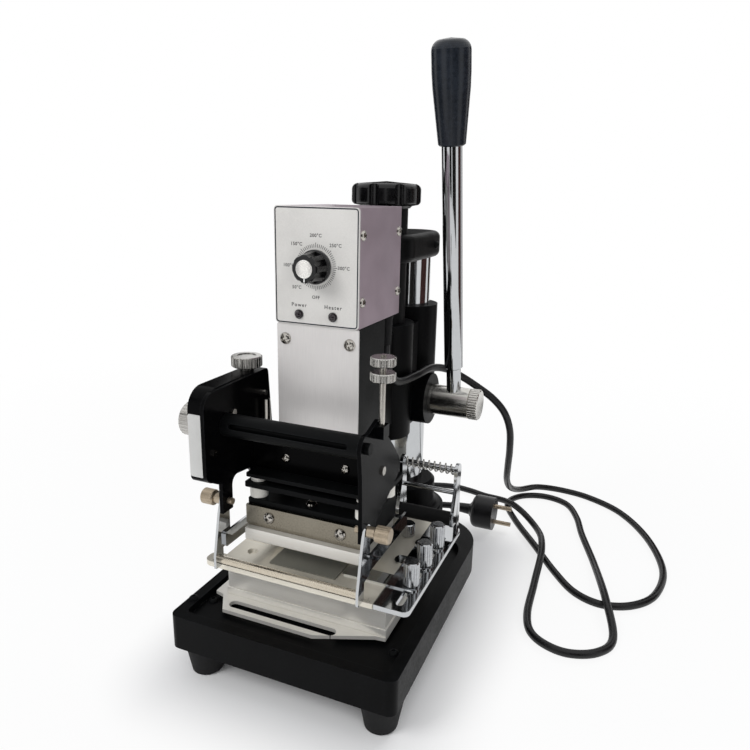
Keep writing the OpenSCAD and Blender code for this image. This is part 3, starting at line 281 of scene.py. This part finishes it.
bright = add(tree, "ShaderNodeEmission", {"Color": srgb(WHITE), "Strength": 1.0})
fading = add(tree, "ShaderNodeMixShader", {0: fade.outputs[0], 1: sheet.outputs[0], 2: bright.outputs[0]})
tree.links.new(fading.outputs[0], tree.nodes["Material Output"].inputs["Surface"])
floor_mesh.materials.append(paper)
print("floor", 2 * FLOOR_HALF, "m wide")

# %% [markdown]
# Polished metal in an all-white room looks like white plastic. A photographer stands dark cloths round the
# table, out of the picture, and chrome mirrors them as upright streaks between the white. Each cloth is an
# upright edge spun through an arc. Only mirror rays see them, so no view is blocked and no light is lost.

# %% Dark cloths
CLOTH_R, CLOTH_H, CLOTH_STEPS = 0.85, 0.8, 6
CLOTH_COLOURS = {"black": "#0b0a09", "charcoal": "#1d1b19", "rust": "#4a2f2c", "brown": "#33231d"}
# Where each cloth starts and ends, in degrees round the press from +X towards +Y
CLOTHS = (
    (-168, -130, "black"), (-98, -74, "charcoal"), (-66, -26, "charcoal"), (0, 38, "rust"),
    (54, 80, "brown"), (103, 118, "black"), (132, 172, "black"),
)
cloth_mesh = bpy.data.meshes.new("dark_cloths")
for name, code in CLOTH_COLOURS.items():
    cloth = bpy.data.materials.new(name + " cloth")
    cloth.use_nodes = True
    fibre = cloth.node_tree.nodes["Principled BSDF"]
    fibre.inputs["Base Color"].default_value = srgb(code)
    fibre.inputs["Roughness"].default_value = 1.0
    cloth_mesh.materials.append(cloth)
cloth_shape = bmesh.new()
for first, last, name in CLOTHS:
    hung = set(cloth_shape.faces)
    low = cloth_shape.verts.new(Matrix.Rotation(math.radians(first), 3, "Z") @ Vector((CLOTH_R, 0, 0)))
    high = cloth_shape.verts.new(low.co + Vector((0, 0, CLOTH_H)))
    upright = cloth_shape.edges.new((low, high))
    bmesh.ops.spin(cloth_shape, geom=[low, high, upright], cent=(0, 0, 0), axis=(0, 0, 1),
                   angle=math.radians(last - first), steps=CLOTH_STEPS)
    for face in set(cloth_shape.faces) - hung:
        face.material_index = list(CLOTH_COLOURS).index(name)
cloth_shape.to_mesh(cloth_mesh)
cloth_shape.free()
cloths = mesh_piece("dark_cloths", cloth_mesh)
for rays in ("visible_camera", "visible_diffuse", "visible_shadow"):
    setattr(cloths, rays, False)
print("cloths:", len(CLOTHS))

# %% [markdown]
# Three soft boxes light the press: a key from the left front, a weak fill from the right, and one behind.
# A sun lamp would be simpler, but its shadows are hard. Mirrors see the white room instead of the boxes.

# %% Lamps
AIM = Vector((0, -0.02, 0.2))
# Name, place, width in metres and power in watts
SOFT_BOXES = (
    ("key_box", (-0.75, -1.25, 1.25), 0.7, 13),
    ("fill_box", (1.25, -0.9, 0.8), 0.9, 4),
    ("back_box", (0.5, 1.3, 1.3), 0.8, 8),
)
for name, place, width, watts in SOFT_BOXES:
    light = bpy.data.lights.new(name, "AREA")
    light.size = width
    light.energy = watts
    box = bpy.data.objects.new(name, light)
    box.location = place
    box.rotation_euler = (AIM - Vector(place)).to_track_quat("-Z", "Y").to_euler()
    box.visible_glossy = False
    scene.collection.objects.link(box)
print("soft boxes:", len(SOFT_BOXES))

# %% [markdown]
# Every surface of the press is paint, plating, bare metal, rubber or plastic, and one function mixes all of
# them. Two noise patterns do the work: a broad one shifts colour and gloss as handling and dust do, and a
# fine one raises the grain. Stretching the fine one makes brush lines. Sizes are millimetres. Paint can be
# rubbed pale along its edges, which are found by comparing a bevelled normal with the true one.

# %% How a finish is mixed
# The two noises add up to about 1, and most of their sum lies in this range
MIX_FROM, MIX_TO = 0.75, 1.25
CLOUD_DETAIL, GRAIN_DETAIL, GRAIN_STRENGTH = 3.0, 2.0, 0.6
COAT_ROUGH = 0.12
WEAR_REACH_MM, WEAR_SAMPLES = 1.0, 4
# Cosine between the bevelled and the true normal, for fully rubbed and for untouched paint
WEAR_FULL, WEAR_NONE = 0.8, 0.98


def surface(name, dark, light, rough, metallic=0.0, shine=0.5, grain_mm=1.0, bump_mm=0.02, stretch=(1, 1, 1),
            cloud_mm=25.0, wear=None, coat=0.0):
    """A finish whose colour runs from dark to light and whose roughness runs over a range."""
    material = bpy.data.materials.new(name)
    material.use_nodes = True
    tree = material.node_tree
    shader = tree.nodes["Principled BSDF"]
    shader.inputs["Metallic"].default_value = metallic
    shader.inputs["Specular IOR Level"].default_value = shine
    shader.inputs["Coat Weight"].default_value = coat
    shader.inputs["Coat Roughness"].default_value = COAT_ROUGH
    place = add(tree, "ShaderNodeTexCoord").outputs["Object"]
    cloud = add(tree, "ShaderNodeTexNoise",
                {"Vector": place, "Scale": 1 / (cloud_mm * MM), "Detail": CLOUD_DETAIL})
    drawn = add(tree, "ShaderNodeMapping", {"Vector": place, "Scale": stretch})
    grain = add(tree, "ShaderNodeTexNoise",
                {"Vector": drawn.outputs[0], "Scale": 1 / (grain_mm * MM), "Detail": GRAIN_DETAIL})
    blend = add(tree, "ShaderNodeMath", {0: cloud.outputs["Fac"], 1: grain.outputs["Fac"]}, operation="ADD")
    spread = {"Value": blend.outputs[0], "From Min": MIX_FROM, "From Max": MIX_TO}
    share = add(tree, "ShaderNodeMapRange", spread).outputs[0]
    gloss = add(tree, "ShaderNodeMapRange", {**spread, "To Min": rough[0], "To Max": rough[1]})
    tree.links.new(gloss.outputs[0], shader.inputs["Roughness"])
    colour = add(tree, "ShaderNodeMix", {0: share, 6: srgb(dark), 7: srgb(light)},
                 data_type="RGBA").outputs[2]
    if wear:
        eased = add(tree, "ShaderNodeBevel", {"Radius": WEAR_REACH_MM * MM}, samples=WEAR_SAMPLES).outputs[0]
        true_side = add(tree, "ShaderNodeNewGeometry").outputs["Normal"]
        facing = add(tree, "ShaderNodeVectorMath", {0: eased, 1: true_side}, operation="DOT_PRODUCT")
        edge = add(tree, "ShaderNodeMapRange", {"Value": facing.outputs["Value"], "From Min": WEAR_FULL,
                                                "From Max": WEAR_NONE, "To Min": 1.0, "To Max": 0.0})
        rubbed = add(tree, "ShaderNodeMath", {0: edge.outputs[0], 1: share}, operation="MULTIPLY").outputs[0]
        colour = add(tree, "ShaderNodeMix", {0: rubbed, 6: colour, 7: srgb(wear)},
                     data_type="RGBA").outputs[2]
    tree.links.new(colour, shader.inputs["Base Color"])
    relief = add(tree, "ShaderNodeBump", {"Height": grain.outputs["Fac"], "Distance": bump_mm * MM,
                                          "Strength": GRAIN_STRENGTH})
    tree.links.new(relief.outputs[0], shader.inputs["Normal"])
    return material


FINISHES = {}
print("a finish has", MIX_FROM, "to", MIX_TO, "as its mixing range")

# %% [markdown]
# The press is mostly black, and its blacks differ. Castings are stove enamelled: sprayed and baked, with a
# faint orange peel. Sheet and turned parts are satin. The box's cover is flake paint and its front lacquer.

# %% Paints
# Stove enamel on castings: a faint orange peel, and grey where edges rub
FINISHES["black_enamel"] = surface("black stove enamel", "#050506", "#0b0c0d", (0.34, 0.46), shine=0.07,
                                   grain_mm=2.2, bump_mm=0.008, wear="#222426")
# Black oxide and satin paint on sheet and turned parts: an even, duller black
FINISHES["black_anodised"] = surface("satin black oxide", "#060708", "#0d0e0f", (0.42, 0.55), shine=0.09,
                                     grain_mm=0.8, bump_mm=0.004, wear="#26282a")
# Silver-lilac paint on the folded cover: fine metal flake under lacquer
FINISHES["silver_paint"] = surface("silver-lilac flake paint", "#998992", "#ab9aa4", (0.32, 0.42),
                                   metallic=0.4, grain_mm=0.35, bump_mm=0.003, coat=0.1)
# The printed panel: pale grey lacquer over sheet
FINISHES["panel_paint"] = surface("pale grey panel lacquer", "#cfcdc9", "#dad8d4", (0.38, 0.46), grain_mm=0.6,
                                  bump_mm=0.003)
print("paints:", list(FINISHES))

# %% [markdown]
# Bright metals. Chrome is a clean mirror, turned steel a softer one, and zinc on screws is grey with a
# slight warm tint that is a painted reflection of brownish surroundings.
# Milled and brushed aluminium carries a clear oxide that scatters light, so it is only part metallic here,
# and its cutter and belt lines are drawn coarser than they are, because finer ones wouldn't show.

# %% Bright metals
BRUSH_ALONG_Z = (1, 1, 0.03)
BRUSH_ALONG_X = (0.03, 1, 1)
# Chrome on polished steel: a mirror with the thinnest haze of handling
FINISHES["chrome_plate"] = surface("polished chrome plate", "#bfc1c3", "#c3c5c7", (0.06, 0.09), metallic=1.0,
                                   grain_mm=6.0, bump_mm=0.0005, cloud_mm=60.0)
# Turned steel: knurls and faces from the lathe keep a soft, greyer shine
FINISHES["bright_steel"] = surface("turned bright steel", "#b9b7b3", "#c9c7c3", (0.2, 0.27), metallic=1.0,
                                   grain_mm=0.5, bump_mm=0.003, cloud_mm=14.0)
# Zinc on screws: grey plating, with a slight warm tint as a painted reflection of brownish surroundings
FINISHES["zinc_steel"] = surface("zinc-plated steel", "#b1ada7", "#c6c2bb", (0.18, 0.26), metallic=1.0,
                                 grain_mm=0.6, bump_mm=0.003, cloud_mm=10.0)
# Milled aluminium, clear anodised: pale and nearly matt, with faint cutter lines
FINISHES["white_aluminium"] = surface("clear anodised milled aluminium", "#e6e3dc", "#eae8e2", (0.3, 0.34),
                                      metallic=0.45, grain_mm=0.9, bump_mm=0.001, stretch=BRUSH_ALONG_X)
# Brushed sheet: the belt ran upwards, so the lines stand upright
FINISHES["brushed_aluminium"] = surface("brushed aluminium sheet", "#dcd9d7", "#e4e1df", (0.38, 0.44),
                                        metallic=0.4, grain_mm=0.5, bump_mm=0.001, stretch=BRUSH_ALONG_Z)
# Brass knobs: turned, dulled to a beige by handling
FINISHES["knob_brass"] = surface("dulled turned brass", "#a89a86", "#c6b7a2", (0.28, 0.42), metallic=0.85,
                                 grain_mm=0.6, bump_mm=0.005, cloud_mm=6.0)
print("finishes so far:", len(FINISHES))

# %% [markdown]
# Rubber and plastic have no metal in them: their colour is in the body, and only gloss and grain differ.

# %% Rubber and plastic
# Moulded rubber: matt, with dust in its pores
FINISHES["black_rubber"] = surface("moulded black rubber", "#0b0b0c", "#161617", (0.6, 0.8), shine=0.3,
                                   grain_mm=0.6, bump_mm=0.02)
# Silicone rubber sheet: grey and smooth
FINISHES["pad_rubber"] = surface("grey silicone sheet", "#64645d", "#75746b", (0.35, 0.5), grain_mm=0.8,
                                 bump_mm=0.008)
# Phenolic moulding, buffed: deep gloss
FINISHES["black_plastic"] = surface("buffed black phenolic", "#050506", "#0a0a0c", (0.2, 0.3), shine=0.35,
                                    grain_mm=4.0, bump_mm=0.003, coat=0.12)
# Flexible PVC: half matt, a little dusty
FINISHES["cord_pvc"] = surface("flexible black PVC", "#08080a", "#121214", (0.3, 0.44), shine=0.4,
                               grain_mm=1.2, bump_mm=0.008)
# Pressed insulating board: nearly white and chalky
FINISHES["ivory_insulator"] = surface("pale insulating board", "#ece8df", "#faf8f2", (0.5, 0.65),
                                      grain_mm=0.5, bump_mm=0.01)
# Lamp lens: tinted acrylic that looks nearly black unlit
FINISHES["lamp_lens"] = surface("smoked red acrylic", "#0f0910", "#1c0f18", (0.06, 0.14), grain_mm=2.0,
                                bump_mm=0.002, coat=0.5)
# Body of the control inside the box: plain grey moulding
FINISHES["grey_plastic"] = surface("grey moulding", "#6d6e70", "#7d7e80", (0.45, 0.6), grain_mm=0.8,
                                   bump_mm=0.01)

slot_of = {part["node"]: part["material_slot"] for part in frame["record"]["subparts"]}
for name, node in nodes.items():
    node.data.materials.clear()
    node.data.materials.append(FINISHES[slot_of[name]])
mains_lead.data.materials.append(FINISHES["cord_pvc"])
print("finishes:", len(FINISHES))

# %% [markdown]
# Some pieces differ a little from others of their slot. The clamp bar is ground, and its colour is darkened
# to a dull olive as a painted reflection of dim, warm surroundings. The table's top is polished. The grip's
# black is lightened and blued as a painted reflection of the sky. The pressed foil frame is glossier than the
# castings, and the gauge's knurled screws are nickel plated. They keep the slot and get a finish of their
# own.

# %% Finishes of single pieces
own_finish = {
    # Clamp bar: ground steel darkened to a dull olive, a painted reflection of dim, warm surroundings
    "die_clamp": surface("ground steel with painted dim reflection", "#7f796d", "#918b7e", (0.26, 0.34), metallic=1.0, grain_mm=1.5,
                         bump_mm=0.001),
    "table_plate": surface("polished aluminium plate", "#dfd9cb", "#e7e2d5", (0.2, 0.26), metallic=0.55,
                           grain_mm=0.9, bump_mm=0.001, stretch=BRUSH_ALONG_X),
    "lever_hub": surface("turned and plated hub", "#cfcdc8", "#dbd9d4", (0.2, 0.27), metallic=1.0,
                         grain_mm=1.5, bump_mm=0.001),
    # Grip: black lightened and blued, a painted reflection of the sky above
    "lever_grip": surface("black phenolic with painted sky sheen", "#181c22", "#22272f", (0.22, 0.3), shine=0.3,
                          grain_mm=3.0, bump_mm=0.003),
}
gloss_enamel = surface("gloss stove enamel on sheet", "#040405", "#080809", (0.2, 0.26), shine=0.04,
                       grain_mm=2.2, bump_mm=0.004, wear="#222426")
for name in ("foil_side_plates", "foil_drive_cover", "foil_cross_panel"):
    own_finish[name] = gloss_enamel
knurled_nickel = surface("nickel-plated knurl", "#aeb0b3", "#bdbfc1", (0.1, 0.16), metallic=1.0, grain_mm=2.0,
                         bump_mm=0.001, cloud_mm=18.0)
for name in ("gauge_thumbscrew_1", "gauge_thumbscrew_2", "gauge_thumbscrew_3", "rear_thumbscrew"):
    own_finish[name] = knurled_nickel
for name, finish in own_finish.items():
    nodes[name].data.materials[0] = finish
print("pieces with a finish of their own:", len(own_finish))

# %% [markdown]
# Two pieces carry two finishes each. The foil guide has chrome arms and a satin nickel rod between them, and
# the plug has metal pins on a black body. A second material slot takes the faces on one side of a line.

# %% Pieces with two finishes
BAIL_T = 2 * MM
PIN_L = 19 * MM
EDGE_MARGIN = 0.2 * MM
satin_nickel = surface("satin nickel", "#cbc1b0", "#d9d0bf", (0.24, 0.32), metallic=1.0, grain_mm=1.5,
                       bump_mm=0.001)
arm_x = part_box("foil_guide_bail")[1].x - BAIL_T - EDGE_MARGIN
bail_mesh = nodes["foil_guide_bail"].data
bail_mesh.materials.append(satin_nickel)
for face in bail_mesh.polygons:
    face.material_index = int(abs(face.center.x) < arm_x)
pin_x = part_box("mains_plug")[1].x - PIN_L + EDGE_MARGIN
plug_mesh = nodes["mains_plug"].data
plug_mesh.materials.append(FINISHES["knob_brass"])
for face in plug_mesh.polygons:
    face.material_index = int(face.center.x > pin_x)
print("rod faces:", sum(f.material_index for f in bail_mesh.polygons),
      "pin faces:", sum(f.material_index for f in plug_mesh.polygons))

# %% [markdown]
# Edges. A CAD edge is a perfect corner, and nothing real is. Castings leave the mould with rounded edges,
# and cut plates are deburred. A copy of each such node has its triangles merged to whole faces, and its
# sharp edges bevelled by an amount that suits how the piece was made.

# %% Rounded edges
EASE_MM = {
    "base_casting": 1.6, "main_casting": 1.2, "head_housing": 0.7, "box_cover": 0.6, "box_chassis": 0.5,
    "table_block": 0.5, "table_plate": 0.35, "bed_plate": 0.4, "slotted_plate": 0.4, "die_plate": 0.4,
    "die_clamp": 0.5, "foil_cross_panel": 0.5, "foil_side_plates": 0.4, "foil_drive_cover": 0.5,
    "carrier_plate": 0.4, "gauge_plate": 0.35, "heater_block": 0.5, "roller_frame": 0.3, "front_plate": 0.2,
}
SAME_SPOT = 1e-6
FLAT = math.radians(1.0)
SHARP = math.radians(32.0)
body_of_node = {n: body for body, members in frame["record"]["behaviour"]["bodies"].items() for n in members}


def eased_copy(node, width):
    """A copy of a CAD node with rounded edges, riding where the node rides and standing for it."""
    shape = bmesh.new()
    shape.from_mesh(nodes[node].data)
    bmesh.ops.remove_doubles(shape, verts=shape.verts, dist=SAME_SPOT)
    bmesh.ops.dissolve_limit(shape, angle_limit=FLAT, verts=shape.verts, edges=shape.edges)
    corners = [e for e in shape.edges if len(e.link_faces) == 2 and e.calc_face_angle(0) > SHARP]
    bmesh.ops.bevel(shape, geom=corners, offset=width * MM, offset_type="OFFSET", segments=2, profile=0.5,
                    affect="EDGES", clamp_overlap=True, material=-1)
    mesh = bpy.data.meshes.new(node + "_eased")
    shape.to_mesh(mesh)
    shape.free()
    shade_smooth(mesh)
    mesh.set_sharp_from_angle(angle=SHARP)
    mesh.materials.append(nodes[node].data.materials[0])
    piece = mesh_piece(node + "_eased", mesh)
    piece.modifiers.new("flat faces stay flat", "WEIGHTED_NORMAL").keep_sharp = True
    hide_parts(node)
    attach(piece, body_of_node[node])
    return len(corners)


for name, width in EASE_MM.items():
    print(name, "edges eased:", eased_copy(name, width))
for name, node in nodes.items():
    if name not in EASE_MM:
        shade_smooth(node.data)

# %% [markdown]
# Springs. The roller's upper rod carries an open coil, and a stronger one in the casting lifts the head.
# A Screw modifier could wind them, but a helix is only a line that turns as it climbs, so the tube of the
# mains lead makes both. Each coil fills its node's box.

# %% Coil springs
COIL_STEPS, COIL_SIDES = 24, 4
ROD_WIRE, ROD_CURLS = 1.4 * MM, 9
LIFT_WIRE, LIFT_CURLS = 2.2 * MM, 6
X_AXIS, Y_AXIS, Z_AXIS = Vector((1, 0, 0)), Vector((0, 1, 0)), Vector((0, 0, 1))


def coil_piece(name, node, body, wire, curls, axis, side):
    """A coil of wire that fills a node's box. Gives the piece, the box's far end and its length."""
    low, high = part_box(node)
    size, middle, across = high - low, (low + high) / 2, axis.cross(side)
    length, radius = size.dot(axis) - wire, (size.dot(side) - wire) / 2
    count = curls * COIL_STEPS
    line = []
    for i in range(count + 1):
        angle = 2 * math.pi * i / COIL_STEPS
        line.append(middle + axis * length * (i / count - 0.5)
                    + radius * (math.cos(angle) * side + math.sin(angle) * across))
    piece = tube_piece(name, line, wire / 2, COIL_SIDES)
    piece.data.materials.append(FINISHES["bright_steel"])
    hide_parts(node)
    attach(piece, body)
    print(name, "points:", len(line))
    return piece, middle + axis * size.dot(axis) / 2, size.dot(axis)


coil_piece("rod_coil", "rod_spring", "base", ROD_WIRE, ROD_CURLS, X_AXIS, Y_AXIS)
lift_piece, lift_top, lift_length = coil_piece("lift_coil", "return_spring", "head", LIFT_WIRE, LIFT_CURLS,
                                               Z_AXIS, X_AXIS)
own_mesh(lift_piece)

# %% [markdown]
# The panel's print. Ink is far too thin to model, but a hair of thickness keeps it from flickering in the
# panel's face. Words come from text curves turned into meshes. Ticks are thin boxes turned round the dial.

# %% Ink helpers
INK = 0.05 * MM
# Screen ink spreads a little past its stencil: share of a letter's size
INK_SPREAD = 0.016
FACING_FRONT = Matrix.Rotation(math.radians(90), 4, "X")
ink = surface("black screen ink", "#08080a", "#121214", (0.5, 0.6), grain_mm=0.5, bump_mm=0.002)


def join_text(shape, words, size, place, spacing):
    """Adds a word, centred on a place on the front panel, to a bmesh."""
    curve = bpy.data.curves.new("word", "FONT")
    curve.body = words
    curve.size = size
    curve.align_x = "CENTER"
    curve.align_y = "CENTER"
    curve.extrude = INK / 2
    curve.offset = size * INK_SPREAD
    curve.space_character = spacing
    curve.resolution_u = 3
    mesh = drawn_mesh(curve)
    mesh.transform(Matrix.Translation(place) @ FACING_FRONT)
    shape.from_mesh(mesh)
    bpy.data.meshes.remove(mesh)


def join_bar(shape, size, matrix):
    """Adds a thin box of a size, placed by a matrix, to a bmesh."""
    bmesh.ops.create_cube(shape, size=1.0, matrix=matrix @ Matrix.Diagonal((*size, 1)))


def piece_from(shape, name, material, body):
    """Keeps a bmesh as a piece with a finish, riding on a body."""
    bmesh.ops.recalc_face_normals(shape, faces=shape.faces)
    mesh = bpy.data.meshes.new(name)
    shape.to_mesh(mesh)
    shape.free()
    mesh.materials.append(material)
    shade_smooth(mesh)
    mesh.set_sharp_from_angle(angle=SHARP)
    piece = mesh_piece(name, mesh)
    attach(piece, body)
    print(name, "faces:", len(mesh.polygons))


print("ink is", INK / MM, "mm thick")

# %% [markdown]
# The dial's scale runs clockwise from OFF at the bottom, 45 degrees for every 50 degrees of heat, with a ring
# of ticks round the knob. The two lamps below have their names above them.

# %% Dial print
SCALE = ["OFF", "50°C", "100°C", "150°C", "200°C", "250°C", "300°C"]
SCALE_STEP = 45
NUMBER_R, NUMBER_SIZE, NUMBER_SPACING = 21.5 * MM, 3.3 * MM, 1.1
TICKS, TICK_W, TICK_IN, TICK_OUT = 64, 0.42 * MM, 13.4 * MM, 15.8 * MM
LONG_EVERY, LONG_MORE = 8, 0.9 * MM
WORD_SIZE, WORD_SPACING, WORD_RISE = 3.8 * MM, 1.3, 3.2 * MM

panel_low, panel_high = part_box("box_chassis")
dial_low, dial_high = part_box("dial_knob")
dial_centre = Vector((0, panel_low.y, (dial_low.z + dial_high.z) / 2))
dial_print = bmesh.new()
for step, words in enumerate(SCALE):
    angle = math.radians(-90 - SCALE_STEP * step)
    place = dial_centre + NUMBER_R * Vector((math.cos(angle), 0, math.sin(angle)))
    join_text(dial_print, words, NUMBER_SIZE, place, NUMBER_SPACING)
for i in range(TICKS):
    tick_end = TICK_OUT + (LONG_MORE if i % LONG_EVERY == 0 else 0)
    round_dial = Matrix.Translation(dial_centre) @ Matrix.Rotation(2 * math.pi * i / TICKS, 4, "Y")
    outwards = Matrix.Translation((0, 0, (TICK_IN + tick_end) / 2))
    join_bar(dial_print, (TICK_W, INK, tick_end - TICK_IN), round_dial @ outwards)
lamp_low, lamp_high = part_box("pilot_lamps")
lamp_x = lamp_high.x - (lamp_high.z - lamp_low.z) / 2
for words, side in (("Power", -1), ("Heater", 1)):
    place = Vector((side * lamp_x, panel_low.y, lamp_high.z + WORD_RISE))
    join_text(dial_print, words, WORD_SIZE, place, WORD_SPACING)
piece_from(dial_print, "dial_print", ink, "head")

# %% [markdown]
# A painted shadow runs round the panel where it meets the folded cover: a dark strip stands for the shade in
# the gap between them. A flat grid has its corners rounded, then an inset leaves a narrow rim, and the middle
# is deleted.

# %% Panel outline
LINE_IN, LINE_W, LINE_CORNER = 0.5 * MM, 0.9 * MM, 2.5 * MM


def new_verts(result):
    """The vertices that an extrude made."""
    return [v for v in result["geom"] if isinstance(v, bmesh.types.BMVert)]


# Dark blue-black strip: painted shade of the gap between panel and cover
painted_gap_shade = surface("painted gap shadow", "#12151f", "#1e2230", (0.45, 0.55), grain_mm=0.5, bump_mm=0.002)
line_w, line_h = panel_high.x - panel_low.x - 2 * LINE_IN, panel_high.z - panel_low.z - 2 * LINE_IN
outline = bmesh.new()
bmesh.ops.create_grid(outline, x_segments=1, y_segments=1, size=0.5)
bmesh.ops.scale(outline, vec=(line_w, line_h, 1), verts=outline.verts)
bmesh.ops.bevel(outline, geom=list(outline.verts), offset=LINE_CORNER, offset_type="OFFSET", segments=5,
                profile=0.5, affect="VERTICES", material=-1)
bmesh.ops.inset_region(outline, faces=outline.faces[:], thickness=LINE_W, use_boundary=True,
                       use_even_offset=True)
middle = max(outline.faces, key=lambda f: f.calc_area())
bmesh.ops.delete(outline, geom=[middle], context="FACES")
thick = bmesh.ops.extrude_face_region(outline, geom=outline.faces[:])
bmesh.ops.translate(outline, vec=(0, 0, INK), verts=new_verts(thick))
on_panel = Matrix.Translation((0, panel_low.y, (panel_low.z + panel_high.z) / 2)) @ FACING_FRONT
bmesh.ops.transform(outline, matrix=on_panel, verts=outline.verts)
piece_from(outline, "panel_gap_shadow", painted_gap_shade, "head")

# %% [markdown]
# The dial's cap is spun aluminium, turned on a lathe so that its grooves run in rings and the light makes
# two bright fans. Rings in the bump give the grooves, and anisotropy round the dial's axis gives the fans.
# The rings are drawn far coarser than a lathe's, so that they show.

# %% Dial cap
RING_MM, GROOVE_MM, GROOVE_STRENGTH, FANS = 4.3425, 0.02, 0.5, 0.8
# A wave texture of scale 1 repeats every 2 pi / 20
WAVE_REPEAT = 2 * math.pi / 20
CAP_R, CAP_RIM, CAP_DOME, CAP_T, CAP_PROUD = 6.25 * MM, 0.5 * MM, 0.25 * MM, 0.5 * MM, 0.1 * MM

cap_finish = surface("ring-turned aluminium", "#ece9e4", "#faf8f4", (0.24, 0.32), metallic=0.4, grain_mm=0.6,
                     bump_mm=0.002)
tree = cap_finish.node_tree
shader = tree.nodes["Principled BSDF"]
shader.inputs["Anisotropic"].default_value = FANS
place = add(tree, "ShaderNodeTexCoord").outputs["Object"]
centred = add(tree, "ShaderNodeMapping", {"Vector": place, "Location": -dial_centre})
rings = add(tree, "ShaderNodeTexWave", {"Vector": centred.outputs[0], "Scale": WAVE_REPEAT / (RING_MM * MM),
                                        "Distortion": 0.4}, wave_type="RINGS", rings_direction="Y")
groove = add(tree, "ShaderNodeBump", {"Height": rings.outputs["Fac"], "Distance": GROOVE_MM * MM,
                                      "Strength": GROOVE_STRENGTH})
tree.links.new(groove.outputs[0], shader.inputs["Normal"])
round_axis = add(tree, "ShaderNodeTangent", direction_type="RADIAL", axis="Y")
tree.links.new(round_axis.outputs[0], shader.inputs["Tangent"])

cap = bmesh.new()
bmesh.ops.create_circle(cap, cap_ends=True, segments=64, radius=CAP_R)
bmesh.ops.inset_region(cap, faces=cap.faces[:], thickness=CAP_RIM, use_boundary=True, use_even_offset=True)
top = max(cap.faces, key=lambda f: f.calc_area())
bmesh.ops.translate(cap, vec=(0, 0, CAP_DOME), verts=top.verts)
wall = bmesh.ops.extrude_edge_only(cap, edges=[e for e in cap.edges if len(e.link_faces) == 1])
bmesh.ops.translate(cap, vec=(0, 0, -CAP_T), verts=new_verts(wall))
bmesh.ops.holes_fill(cap, edges=[e for e in cap.edges if len(e.link_faces) == 1])
on_knob = Matrix.Translation((0, dial_low.y - CAP_PROUD, dial_centre.z)) @ FACING_FRONT
bmesh.ops.transform(cap, matrix=on_knob, verts=cap.verts)
piece_from(cap, "dial_cap", cap_finish, "dial")

# %% [markdown]
# A white line on the knob's face and one on its skirt point at the scale. On the real knob they are grooves
# filled with paint. Two small bars that stand a hair proud look the same and need no cut in the knob.

# %% Dial pointer
FACE_BAR, FACE_IN, FACE_BELOW = (0.9 * MM, 0.3 * MM, 2.4 * MM), 0.35 * MM, 7.7 * MM
SKIRT_BAR, SKIRT_IN, SKIRT_UP = (0.8 * MM, 2.2 * MM, 1.6 * MM), 1.2 * MM, 0.75 * MM

white_fill = surface("white filled line", "#e4e4e2", "#f6f6f4", (0.4, 0.5), grain_mm=0.5, bump_mm=0.002)
pointer = bmesh.new()
join_bar(pointer, FACE_BAR, Matrix.Translation((0, dial_low.y + FACE_IN, dial_centre.z - FACE_BELOW)))
join_bar(pointer, SKIRT_BAR, Matrix.Translation((0, dial_high.y - SKIRT_IN, dial_low.z + SKIRT_UP)))
piece_from(pointer, "dial_pointer", white_fill, "dial")

# %% [markdown]
# The table's front lip is the ruler that a card is set against. Its millimetre marks are engraved and
# filled. Here they are thin dark bars, longer at every fifth and tenth.

# %% Ruler marks
RULER_FROM, RULER_TO = -70, 62
MARK_W, MARK_IN = 0.22 * MM, 1.2 * MM
TENTH, FIFTH, SINGLE = 5.0 * MM, 3.6 * MM, 2.4 * MM

table_low, table_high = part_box("table_plate")
ruler = bmesh.new()
for mark in range(RULER_FROM, RULER_TO + 1):
    reach = TENTH if mark % 10 == 0 else FIFTH if mark % 5 == 0 else SINGLE
    place = Vector((mark * MM, table_low.y + MARK_IN + reach / 2, table_high.z))
    join_bar(ruler, (MARK_W, reach, INK), Matrix.Translation(place))
piece_from(ruler, "ruler_marks", ink, "base")

# %% [markdown]
# A bare plate is stuck on the front of the foil drive's cover. It is left blank: a thin box with four
# rounded corners, sunk a hair into the paint so that no gap shows.

# %% Bare plate
PLATE_W, PLATE_T, PLATE_H = 11.5 * MM, 0.5 * MM, 47 * MM
PLATE_CORNER, PLATE_SUNK = 1.5 * MM, 0.05 * MM
PLATE_FROM_LEFT, PLATE_FROM_BELOW = 0.4 * MM, 5.5 * MM

bare = surface("bare bright aluminium", "#c6c6c4", "#d6d6d4", (0.3, 0.4), metallic=0.3, grain_mm=0.5,
               bump_mm=0.001)
cover_low, cover_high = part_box("foil_drive_cover")
plate = bmesh.new()
bmesh.ops.create_cube(plate, size=1.0)
bmesh.ops.scale(plate, vec=(PLATE_W, PLATE_T, PLATE_H), verts=plate.verts)
through = [e for e in plate.edges if e.verts[0].co.y * e.verts[1].co.y < 0]
bmesh.ops.bevel(plate, geom=through, offset=PLATE_CORNER, offset_type="OFFSET", segments=4, profile=0.5,
                affect="EDGES", material=-1)
place = Vector((cover_low.x + PLATE_FROM_LEFT + PLATE_W / 2, cover_low.y - PLATE_T / 2 + PLATE_SUNK,
                cover_low.z + PLATE_FROM_BELOW + PLATE_H / 2))
bmesh.ops.translate(plate, vec=place, verts=plate.verts)
piece_from(plate, "bare_plate", bare, "head")
